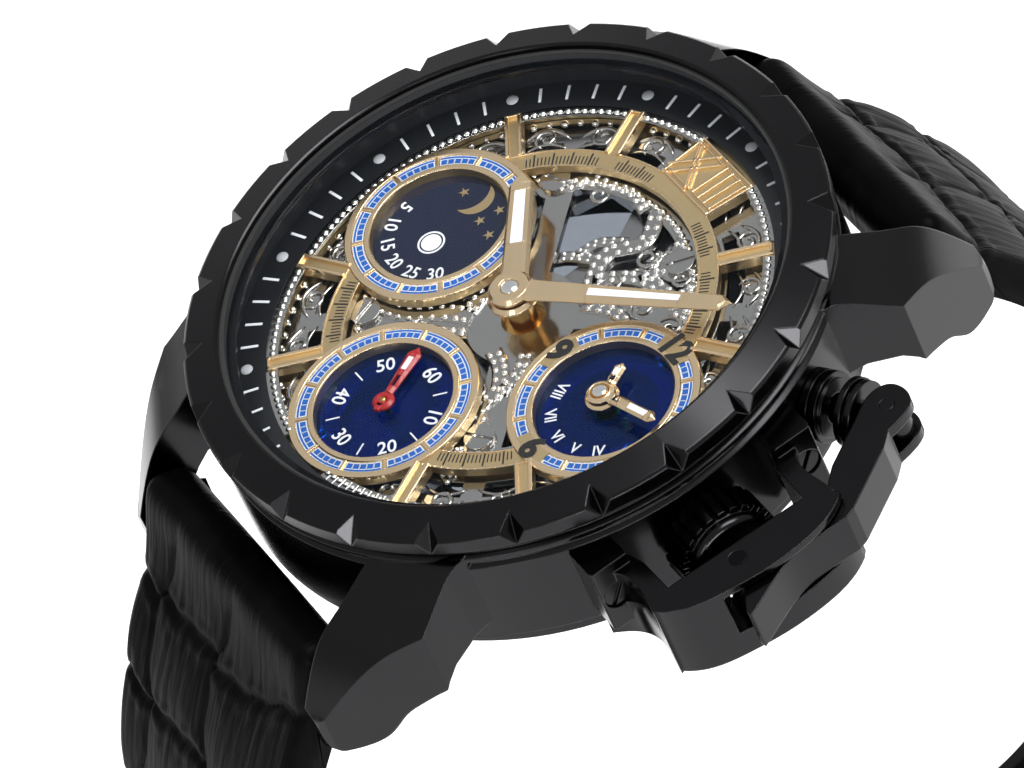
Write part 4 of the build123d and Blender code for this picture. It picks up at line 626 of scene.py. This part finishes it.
# ---------------------------------------------------------------- hands
def hand_piece(name, node, c, clock, L, w0, w1, hub, bore, z0, z1, tipr, tail, material, body, lume, window=None, lume_mat=None):
    """Hand with bevelled flanks; lume and window are (u0, u1, w0, w1) along the hand."""
    a = radians(90 - clock)
    ux, uy = cos(a), sin(a)

    def q(u, w):
        return (c[0] + u * ux - w * uy, c[1] + u * uy + w * ux)
    h = Batch()
    zt, ze = z1 + 0.08, z0 + 0.08
    # cross sections along the hand: half width, inner window half width
    us = sorted({hub * 0.86, lume[0], lume[1], L - tipr} | ({window[0], window[1]} if window else set()))
    def hw(u):
        return (w0 + (w1 - w0) * min(1.0, u / (L - tipr))) / 2
    def inside(u0, u1):
        m = (u0 + u1) / 2
        if lume[0] <= m <= lume[1]:
            return lambda u: (lume[2] + (lume[3] - lume[2]) * (u - lume[0]) / (lume[1] - lume[0])) / 2
        if window and window[0] <= m <= window[1]:
            return lambda u: window[2] / 2
        return None
    bw = 0.28
    for u0, u1 in zip(us[:-1], us[1:]):
        fin = inside(u0, u1)
        for s in (1, -1):
            pts = []
            for u in (u0, u1):
                H = hw(u)
                I = fin(u) if fin else 0.0
                flat = max(I + 0.02, H - bw * 0.8)
                pts.append([q(u, s * I) + (z0,), q(u, s * H) + (z0,), q(u, s * H) + (ze,), q(u, s * flat) + (zt,), q(u, s * I) + (zt,)])
            v = pts[0] + pts[1]
            f = [(k, (k + 1) % 5, 5 + (k + 1) % 5, 5 + k) if s > 0 else (k, 5 + k, 5 + (k + 1) % 5, (k + 1) % 5) for k in range(5)]
            f += [(0, 1, 2, 3, 4), (5, 6, 7, 8, 9)]
            h.add(v, f)
    # tip
    u0 = L - tipr
    H = hw(u0)
    v = [q(u0, -H) + (z0,), q(L, 0) + (z0,), q(u0, H) + (z0,), q(u0, -H) + (ze,), q(L, 0) + (ze,), q(u0, H) + (ze,),
         q(u0, -(H - bw * 0.8)) + (zt,), q(L - 0.35, 0) + (zt,), q(u0, H - bw * 0.8) + (zt,)]
    h.add(v, [(0, 2, 1), (0, 1, 4, 3), (1, 2, 5, 4), (3, 4, 7, 6), (4, 5, 8, 7), (6, 7, 8), (0, 3, 6, 8, 5, 2)])
    if tail:
        h.prism([q(-tail, -w0 / 2.6), q(-0.1, -w0 / 2.2), q(-0.1, w0 / 2.2), q(-tail, w0 / 2.6)], z0, zt, 0.06)
    # hub ring
    prof = [(bore, z0 - 0.1), (hub, z0 - 0.1), (hub, ze), (hub - bw * 0.8, zt), (bore + 0.1, zt), (bore, zt - 0.1)]
    n = 56
    v, f = [], []
    for k in range(n):
        t = 2 * pi * k / n
        for r, z in prof:
            v.append((c[0] + r * cos(t), c[1] + r * sin(t), z))
    m = len(prof)
    for k in range(n):
        for j in range(m):
            p0, p1 = k * m + j, k * m + (j + 1) % m
            q0, q1 = ((k + 1) % n) * m + j, ((k + 1) % n) * m + (j + 1) % m
            f.append((p0, q0, q1, p1))
    h.add(v, f)
    h.make(name, material, body, replaces=(node,))
    lm = Batch()
    lm.prism([q(lume[0], -lume[2] / 2), q(lume[1], -lume[3] / 2), q(lume[1], lume[3] / 2), q(lume[0], lume[2] / 2)], z0 + 0.05, zt - 0.03)
    lm.make(name + "_lume", lume_mat or LUME, body)


hand_piece("hour_hand_piece", "hour_hand", (0, 0), 305.0, 10.8, 1.95, 1.75, 1.75, 0.95, 10.1, 10.35, 1.3, 0, GOLD, "hours", (4.3, 8.9, 0.85, 0.75))
hand_piece("minute_hand_piece", "minute_hand", (0, 0), 51.3, 15.7, 1.75, 1.25, 1.5, 0.62, 10.75, 11.0, 0.8, 0, GOLD, "centre", (5.6, 12.1, 0.62, 0.5))
hand_piece("seconds_hand_piece", "seconds_hand", SEC_C, 332.7, 4.6, 0.55, 1.05, 0.75, 0.24, 8.85, 9.0, 0.6, 0.9, RED, "seconds", (2.6, 3.7, 0.42, 0.42), (1.2, 2.1, 0.34))
hand_piece("dual_hour_hand_piece", "dual_hour_hand", DUAL_C, 330.7, 2.85, 0.75, 0.85, 1.15, 0.86, 9.15, 9.32, 0.35, 0, GOLD, "dual_hours", (1.75, 2.35, 0.4, 0.4), (1.3, 1.65, 0.4))
hand_piece("dual_minute_hand_piece", "dual_minute_hand", DUAL_C, 73.7, 4.9, 0.8, 0.85, 0.95, 0.58, 9.6, 9.77, 0.45, 0, GOLD, "dual_minutes", (2.6, 4.1, 0.45, 0.45), (1.25, 1.75, 0.42))
cap = Batch()
cap.dome((0, 0), 0.6, 10.95, 0.22, n=28, m=6)
cap.make("centre_cap", SILVER2, "centre")
cap = Batch()
cap.dome(DUAL_C, 0.55, 9.75, 0.2, n=28, m=6)
cap.make("dual_cap", SILVER2, "dual_minutes")
cap = Batch()
cap.dome(SEC_C, 0.24, 9.0, 0.15, n=20, m=5)
cap.make("seconds_cap", BRASS, "seconds")

# ---------------------------------------------------------------- scroll ornament of the front plate
orn, beads = Batch(), Batch()
ZP = 7.95


def hidden(p):
    """Outside the plate, more than 17 mm from the centre."""
    r = sqrt(p[0] ** 2 + p[1] ** 2)
    return r > 17.0


def ribbon(ctrl, w, z0=7.45, z1=ZP + 0.12, bead=0.24, gap=0.62, wob=0.0):
    """Flat scroll band along a curve, bevelled, with a row of beads along each edge."""
    path = smooth_path(ctrl, 10)
    n = len(path)
    L, R = [], []
    s = 0.0
    for i, p in enumerate(path):
        t = path[min(i + 1, n - 1)] - path[max(i - 1, 0)]
        t = t / np.linalg.norm(t)
        if i:
            s += np.linalg.norm(p - path[i - 1])
        k = w / 2 * (1 + wob * sin(s * 2.4))
        nrm = np.array([-t[1], t[0]])
        L.append(p + nrm * k)
        R.append(p - nrm * k)
    bw = 0.14
    v, f = [], []
    for l, r in zip(L, R):
        d = (r - l) / np.linalg.norm(r - l)
        for q, z in ((l, z0), (l, z1 - 0.1), (l + d * bw, z1), (r - d * bw, z1), (r, z1 - 0.1), (r, z0)):
            v.append((q[0], q[1], z))
    for i in range(n - 1):
        for j in range(5):
            a = i * 6 + j
            f.append((a, a + 6, a + 7, a + 1))
    f += [tuple(range(6)), tuple(range((n - 1) * 6, n * 6))[::-1]]
    orn.add(v, f)
    if bead:
        for side in (L, R):
            acc = gap / 2
            for i in range(1, n):
                step = np.linalg.norm(side[i] - side[i - 1])
                acc += step
                if acc >= gap:
                    acc = 0.0
                    mid = (L[i] + R[i]) / 2
                    q = side[i] + (mid - side[i]) / np.linalg.norm(mid - side[i]) * (bead + 0.06)
                    beads.dome((q[0], q[1]), bead, z1 - 0.03, bead * 0.75)


def curl(c, r0, r1, a0, turns, z=ZP + 0.05, w=0.16):
    """A raised spiral scroll."""
    n = int(abs(turns) * 28) + 6
    orn.tube([(c[0] + (r0 + (r1 - r0) * k / n) * cos(radians(a0) + 2 * pi * turns * k / n),
               c[1] + (r0 + (r1 - r0) * k / n) * sin(radians(a0) + 2 * pi * turns * k / n), z) for k in range(n + 1)], w, flat=0.8)


# inner edge ring of beads
for k in range(104):
    a = 360 / 104 * k
    p = P(11.45, a)
    if any((p[0] - c[0]) ** 2 + (p[1] - c[1]) ** 2 < 6.7 ** 2 for c in (MOON_C, SEC_C, DUAL_C)):
        continue
    beads.dome(p, 0.25 if k % 3 else 0.33, ZP - 0.02, 0.26)
bands = [
    ([(-0.9, 11.2), (0.6, 9.2), (-0.4, 7.0), (0.6, 5.2), (2.4, 3.6)], 1.25),
    ([(2.2, 3.4), (4.4, 4.6), (6.6, 4.4), (8.4, 5.2), (10.6, 4.6)], 1.1),
    ([(0.8, 5.0), (2.6, 7.0), (5.2, 7.9), (7.6, 7.6), (9.2, 8.4)], 1.15),
    ([(2.4, 11.2), (3.6, 9.0), (3.2, 7.2)], 1.0),
    ([(6.9, 10.2), (6.4, 8.8), (6.9, 7.6)], 0.9),
    ([(-6.9, 9.8), (-5.4, 10.2), (-3.6, 10.9), (-1.6, 10.7)], 1.0),
    ([(-10.4, 7.2), (-8.4, 7.4), (-7.2, 8.8), (-7.8, 10.2)], 1.1),
    ([(-2.9, 1.6), (-3.7, -0.6), (-3.1, -2.4)], 1.3),
    ([(-2.6, -2.4), (-4.4, -3.6), (-6.2, -5.4), (-8.2, -6.4), (-10.0, -7.6)], 1.5),
    ([(-1.6, -3.4), (-3.0, -4.6), (-5.0, -5.6)], 0.9),
    ([(1.0, -3.0), (2.6, -3.4), (4.2, -4.6), (4.6, -6.2), (6.2, -7.2), (8.0, -8.8)], 1.2),
    ([(2.8, -1.4), (4.0, -2.8), (4.4, -4.4)], 1.1),
    ([(6.2, -8.8), (6.6, -10.4), (8.4, -10.8)], 1.0),
    ([(-12.4, -5.6), (-10.8, -6.6), (-9.8, -8.6), (-8.4, -10.4)], 1.0),
]
for ctrl, w in bands:
    ribbon(ctrl, w)
# lower silver layer seen through the windows
for ctrl, w in (([(-1.4, 6.2), (-3.0, 5.0), (-4.2, 3.4), (-6.4, 3.0)], 0.9), ([(-1.0, 8.6), (-2.4, 7.2), (-2.6, 5.4)], 0.8),
                ([(1.6, 9.8), (2.0, 8.2), (1.4, 6.8)], 0.9), ([(4.6, 6.2), (5.4, 5.6), (5.0, 4.2)], 0.8), ([(8.0, 6.4), (8.9, 4.8)], 0.8)):
    ribbon(ctrl, w, 6.85, 7.3, 0.17, 0.5)
for c, r0, r1, a0, t in (((1.9, 5.6), 0.25, 1.0, 40, 1.4), ((5.4, 6.1), 0.25, 0.95, 200, 1.3), ((8.2, 6.5), 0.2, 0.9, 120, 1.2),
                         ((2.0, 8.6), 0.2, 0.8, 300, 1.2), ((5.2, 9.2), 0.2, 0.8, 60, 1.2), ((-5.8, -3.2), 0.2, 0.8, 10, 1.2),
                         ((-2.2, -6.0), 0.2, 0.7, 250, 1.1), ((3.2, -5.6), 0.25, 0.8, 190, 1.2), ((8.4, 9.6), 0.2, 0.7, 0, 1.2),
                         ((9.6, 6.4), 0.2, 0.8, 90, 1.2), ((-9.2, 8.4), 0.2, 0.7, 200, 1.2), ((-5.2, 9.2), 0.2, 0.7, 20, 1.1)):
    curl(c, r0, r1, a0, t)
# bright edge ring beside the chapter ring
for k in range(180):
    a = 2 * k
    if abs(a + 1 - 90) < 11 or any(abs((a + 1 - (90 - q) + 180) % 360 - 180) < 2.4 for q in (30, 60, 120, 150, 210, 240, 300, 330)):
        continue
    p = P(16.95, a + 1)
    if any((p[0] - c[0]) ** 2 + (p[1] - c[1]) ** 2 < 6.55 ** 2 for c in (MOON_C, SEC_C, DUAL_C)):
        continue
    orn.sector((0, 0), 16.35, 17.2, a, a + 2, 8.86, 8.99, 1)
    beads.dome(P(16.72, a + 1), 0.24, 8.97, 0.16, n=10, m=3)
# outer gallery between the graduated ring and the chapter ring
for k in range(96):
    a = 360 / 96 * k
    p = P(16.55, a)
    beads.dome(p, 0.3 if k % 2 else 0.22, ZP - 0.02, 0.26)
for k in range(24):
    a = 15 * k + 7.5
    c = P(15.3, a)
    curl(c, 0.2, 0.85, a + 90, 1.2 if k % 2 else -1.2)
    orn.tube([(*P(15.2 + 0.9 * sin(pi * j / 10), a - 6 + j * 1.2), ZP + 0.03) for j in range(11)], 0.16, flat=0.8)
    orn.tube([(*P(14.3 + 0.5 * sin(pi * j / 10), a - 6 + j * 1.2), ZP + 0.03) for j in range(11)], 0.13, flat=0.8)
orn.make("scroll_bands", SILVER, "case")
beads.make("scroll_beads", SILVER2, "case")

# ---------------------------------------------------------------- strap
UP_OUT = [(25.2, 4.35), (27.4, -0.4), (31.9, -7.6), (36.2, -18.38), (38.2, -33.88), (36.6, -51.2), (31.6, -64.6), (24.2, -69.9), (15.0, -71.3), (3.2, -71.3)]
UP_IN = [(3.2, -68.9), (14.6, -68.8), (22.6, -67.4), (29.0, -62.02), (33.7, -49.01), (35.1, -33.88), (33.1, -20.38), (28.9, -9.0), (25.2, -3.1), (22.6, -0.8)]
LO_OUT = [(-25.2, 4.35), (-27.4, -0.4), (-31.9, -7.6), (-36.2, -18.38), (-38.2, -33.88), (-36.4, -51.92), (-31.4, -65.4), (-24.0, -71.4), (-14.0, -74.0), (0.0, -74.0), (14.0, -74.0), (21.5, -73.2)]
LO_IN = [(21.9, -71.0), (14.0, -71.65), (0.0, -71.65), (-13.4, -71.5), (-22.0, -69.0), (-28.8, -63.15), (-33.5, -49.92), (-35.1, -33.88), (-33.1, -20.38), (-28.9, -9.0), (-25.2, -3.1), (-22.6, -0.8)]


def resample(path, n):
    p = np.array(path)
    d = np.r_[0, np.cumsum(np.linalg.norm(np.diff(p, axis=0), axis=1))]
    t = np.linspace(0, d[-1], n)
    return np.stack([np.interp(t, d, p[:, k]) for k in (0, 1)], 1), d[-1]


def strap_half(name, node, out, inn, seed, holes=()):
    sg = 1 if out[0][0] > 0 else -1
    out = [(sg * 21.75, 1.7), (sg * 22.0, 3.2), (sg * 22.9, 4.25)] + out
    inn = inn + [(sg * 21.7, 1.2)]
    rnd = np.random.RandomState(seed)
    N, M = 420, 96
    o, length = resample(smooth_path(out, 40), N)
    i_, _ = resample(smooth_path(inn[::-1], 40), N)
    # start both at the lug end
    s_pos = np.linspace(0, length, N)
    t = np.gradient(o, axis=0)
    t /= np.linalg.norm(t, axis=1)[:, None]
    side = 1 if out[0][0] > 0 else -1
    nrm = np.stack([-t[:, 1], t[:, 0]], 1) * side      # outward
    W = 10.9
    xs = np.linspace(-W, W, M)
    # scale columns and rows
    X, S = np.meshgrid(xs, s_pos)
    wob = 0.5 * np.sin(S * 0.42 + seed) + 0.15 * np.sin(S * 1.3 + 1.3 * seed)
    cols = np.array([-14.0, -6.0, 1.6, 14.0])
    rows = []
    for c in range(3):
        r, q = [], (13.6, 12.6, 13.4)[c]
        while q < length + 8:
            r.append(q)
            q += rnd.uniform(7.0, 9.5)
        rows.append(r)
    lean = -0.3 * np.maximum(X, 0) + 0.1 * np.minimum(X, 0)
    wobr = lean + 0.35 * np.sin(X * 0.6 + seed) + 0.12 * np.sin(X * 2.1)
    groove = np.full_like(X, 9.0)
    for e in cols[1:-1]:
        groove = np.minimum(groove, np.abs(X - e - wob + 0.09 * np.minimum(S, 14)))
    cross = np.full_like(X, 9.0)
    Xc = X - wob + 0.09 * np.minimum(S, 14)
    for c in range(3):
        m = (Xc >= cols[c]) & (Xc < cols[c + 1])
        for r in rows[c]:
            cross = np.where(m, np.minimum(cross, np.abs(S - r - wobr)), cross)
    best = np.minimum(groove * 1.1, cross)
    start = np.clip((S - 5.0) / 3.0, 0, 1)
    H = -0.2 * np.exp(-(groove / 0.2) ** 2) * start - 0.3 * np.exp(-(cross / 0.3) ** 2)
    H += (0.22 * (1 - np.exp(-(best / 1.6) ** 2)) - 0.22) * start
    # folds beside each cross crease, and fine folds along the strap
    H += 0.1 * np.exp(-((cross - 0.95) / 0.3) ** 2) * (0.6 + 0.4 * np.sin(X * 1.9 + seed))
    fold = np.sin(X * 6.1 + 1.2 * np.sin(S * 0.35 + seed) + 0.5 * np.sin(S * 1.1)) * (0.6 + 0.4 * np.sin(S * 0.31 + X * 0.5))
    fold2 = np.sin(X * 11.3 + 0.9 * np.sin(S * 0.5 + 2.0 * seed))
    H += (0.014 * fold + 0.008 * fold2) * (1 - np.exp(-(best / 0.8) ** 2)) * (0.35 + 0.65 * start)
    H += 0.03 * np.sin(X * 4.7 + S * 0.6) * np.exp(-((cross - 1.2) / 1.0) ** 2)
    # padded crown and rolled edges
    u = np.abs(X) / W
    H += (-0.7 * np.clip((u - 0.9) / 0.1, 0, 1) ** 2 + 0.1 * (1 - u ** 2)) * np.clip(S / 2.0, 0.2, 1) - 0.04
    for y in holes:
        pass
    v, f = [], []
    for k in range(N):
        for j in range(M):
            p = o[k] + nrm[k] * H[k, j]
            v.append((xs[j], p[0], p[1]))
    base = len(v)
    ie = 14
    xi = np.linspace(W, -W, ie)
    for k in range(N):
        for j in range(ie):
            uu = abs(xi[j]) / W
            edge = 0.35 * max(0.0, (uu - 0.86) / 0.14) ** 2
            p = i_[k] + nrm[k] * edge
            v.append((xi[j], p[0], p[1]))
    ring = []
    for k in range(N):
        ring.append([k * M + j for j in range(M)] + [base + k * ie + j for j in range(ie)])
    R = M + ie
    for k in range(N - 1):
        for j in range(R):
            q = (ring[k][j], ring[k][(j + 1) % R], ring[k + 1][(j + 1) % R], ring[k + 1][j])
            f.append(q if side < 0 else q[::-1])
    f.append(tuple(ring[0]))
    f.append(tuple(ring[-1])[::-1])
    bt = Batch()
    bt.add(v, f, True)
    return bt


def loop_band(bt, y0, y1, x, ztop, zbot, t, rc=1.2):
    """A leather keeper: a rounded rectangular loop of thickness t, y0 to y1."""
    pts = []
    for cx, cz, a0 in ((x - rc, ztop - rc, 0), (-x + rc, ztop - rc, 90), (-x + rc, zbot + rc, 180), (x - rc, zbot + rc, 270)):
        for k in range(9):
            a = radians(a0 + 90 * k / 8)
            pts.append((cx + rc * cos(a), cz + rc * sin(a), cos(a), sin(a)))
    n = len(pts)
    prof = [(-0.5, 0.25), (-0.42, 0.0), (-0.2, -0.06), (0.2, -0.06), (0.42, 0.0), (0.5, 0.25), (0.5, 1.0), (-0.5, 1.0)]
    v, f = [], []
    w = y1 - y0
    for px, pz, nx, nz in pts:
        for s, d in prof:
            dd = d * t
            v.append((px - nx * dd, (y0 + y1) / 2 + s * w, pz - nz * dd))
    m = len(prof)
    for i in range(n):
        for j in range(m):
            a, b2 = i * m + j, i * m + (j + 1) % m
            c2, d2 = ((i + 1) % n) * m + (j + 1) % m, ((i + 1) % n) * m + j
            f.append((a, b2, c2, d2))
    bt.add(v, f, True)


up = strap_half("strap_upper_leather", "strap_upper", UP_OUT, UP_IN, 3)
# rolled end round the buckle's bar
for k0, k1 in ((-10.9, -1.25), (1.25, 10.9)):
    v, f = [], []
    n = 24
    for x in (k0, k0 + 0.25, k1 - 0.25, k1):
        r = 1.2 if x in (k0 + 0.25, k1 - 0.25) else 1.0
        for k in range(n):
            a = 2 * pi * k / n
            v.append((x, 1.4 + r * cos(a), -70.1 + r * sin(a)))
    for i in range(3):
        for k in range(n):
            a, b2 = i * n + k, i * n + (k + 1) % n
            f.append((a, a + n, b2 + n, b2))
    f += [tuple(range(n)), tuple(range(3 * n, 4 * n))[::-1]]
    up.add(v, f, True)
    up.add([(k0, 2.0, -71.25), (k1, 2.0, -71.25), (k1, 3.6, -71.25), (k0, 3.6, -71.25), (k0, 2.0, -68.95), (k1, 2.0, -68.95), (k1, 3.6, -68.95), (k0, 3.6, -68.95)],
           [(0, 3, 2, 1), (4, 5, 6, 7), (0, 1, 5, 4), (2, 3, 7, 6), (0, 4, 7, 3), (1, 2, 6, 5)])
loop_band(up, 4.6, 8.6, 12.4, -67.9, -75.6, 1.1)
up.make("strap_upper_leather", LEATHER, "case", replaces=("strap_upper",), slot="strap")
lo = strap_half("strap_lower_leather", "strap_lower", LO_OUT, LO_IN, 5)
lo.make("strap_lower_leather", LEATHER, "case", replaces=("strap_lower",), slot="strap")
kp = Batch()
loop_band(kp, 12.4, 16.4, 12.4, -67.4, -75.6, 0.95)
kp.make("free_keeper_leather", LEATHER, "keeper", replaces=("free_keeper",), slot="strap")

# ---------------------------------------------------------------- stage, lights, camera
fl = bpy.data.meshes.new("floor")
S = 6.0
fl.from_pydata([(-S, -S, -0.0758), (S, -S, -0.0758), (S, S, -0.0758), (-S, S, -0.0758)], [], [(0, 1, 2, 3)])
floor = bpy.data.objects.new("floor", fl)
bpy.context.scene.collection.objects.link(floor)
floor_mat = surface("floor_white", (0.93, 0.93, 0.93), 0.9, spread=0.004, emit=0.32)
fl.materials.append(floor_mat)


def area(name, loc, target, size, power, color=(1, 1, 1), size_y=None):
    ld = bpy.data.lights.new(name, "AREA")
    ld.energy = power
    ld.color = color
    ld.shape = "RECTANGLE"
    ld.size = size
    ld.size_y = size_y or size
    o = bpy.data.objects.new(name, ld)
    bpy.context.scene.collection.objects.link(o)
    o.location = loc
    o.rotation_euler = (Vector(target) - Vector(loc)).to_track_quat("-Z", "Y").to_euler()
    return o


area("top_soft", (0.1, 0.35, 0.75), (0, 0, 0), 0.45, 7.0)
area("side_soft", (0.93, -0.165, 0.265), (0.02, 0.015, 0.012), 0.62, 5.0, size_y=0.11)
area("front_strip", (0.5, -0.55, 0.25), (0, 0, 0), 0.2, 1.5, size_y=0.5)

w = bpy.data.worlds.new("studio")
bpy.context.scene.world = w
w.use_nodes = True
bg = w.node_tree.nodes["Background"]
wt = w.node_tree
tc = wt.nodes.new("ShaderNodeTexCoord")
dp = wt.nodes.new("ShaderNodeVectorMath")
dp.operation = "DOT_PRODUCT"
dp.inputs[1].default_value = (-0.69, 0.14, 0.71)
wt.links.new(tc.outputs["Generated"], dp.inputs[0])
wr = wt.nodes.new("ShaderNodeValToRGB")
el = wr.color_ramp.elements
el[0].position, el[0].color = 0.0, (0.6, 0.6, 0.6, 1)
el[1].position, el[1].color = 1.0, (0.84, 0.85, 0.87, 1)
e = el.new(0.72)
e.color = (0.95, 0.95, 0.95, 1)
e = el.new(0.88)
e.color = (0.93, 0.94, 0.95, 1)
e = el.new(0.93)
e.color = (0.92, 0.93, 0.95, 1)
mp = wt.nodes.new("ShaderNodeMapRange")
mp.inputs["From Min"].default_value = -1.0
mp.inputs["From Max"].default_value = 1.0
wt.links.new(dp.outputs["Value"], mp.inputs["Value"])
wt.links.new(mp.outputs["Result"], wr.inputs["Fac"])
wt.links.new(wr.outputs["Color"], bg.inputs["Color"])
bg.inputs["Strength"].default_value = 0.6

cd = bpy.data.cameras.new("cam")
cd.sensor_width = 36.0
cd.lens = 316.558
cd.clip_start = 0.05
cd.clip_end = 20.0
cam = bpy.data.objects.new("cam", cd)
bpy.context.scene.collection.objects.link(cam)
R = ((0.49485438, -0.53150112, 0.68747778), (0.81425051, 0.55992957, -0.15321548), (-0.30350494, 0.63559848, 0.70985866))
m = Matrix.Identity(4)
for i in range(3):
    for j in range(3):
        m[i][j] = R[i][j]
m.translation = (0.40005353, -0.09174220, 0.41653757)
cam.matrix_world = m
bpy.context.scene.camera = cam
bpy.context.scene.view_settings.view_transform = "Standard"
bpy.context.scene.view_settings.look = "None"
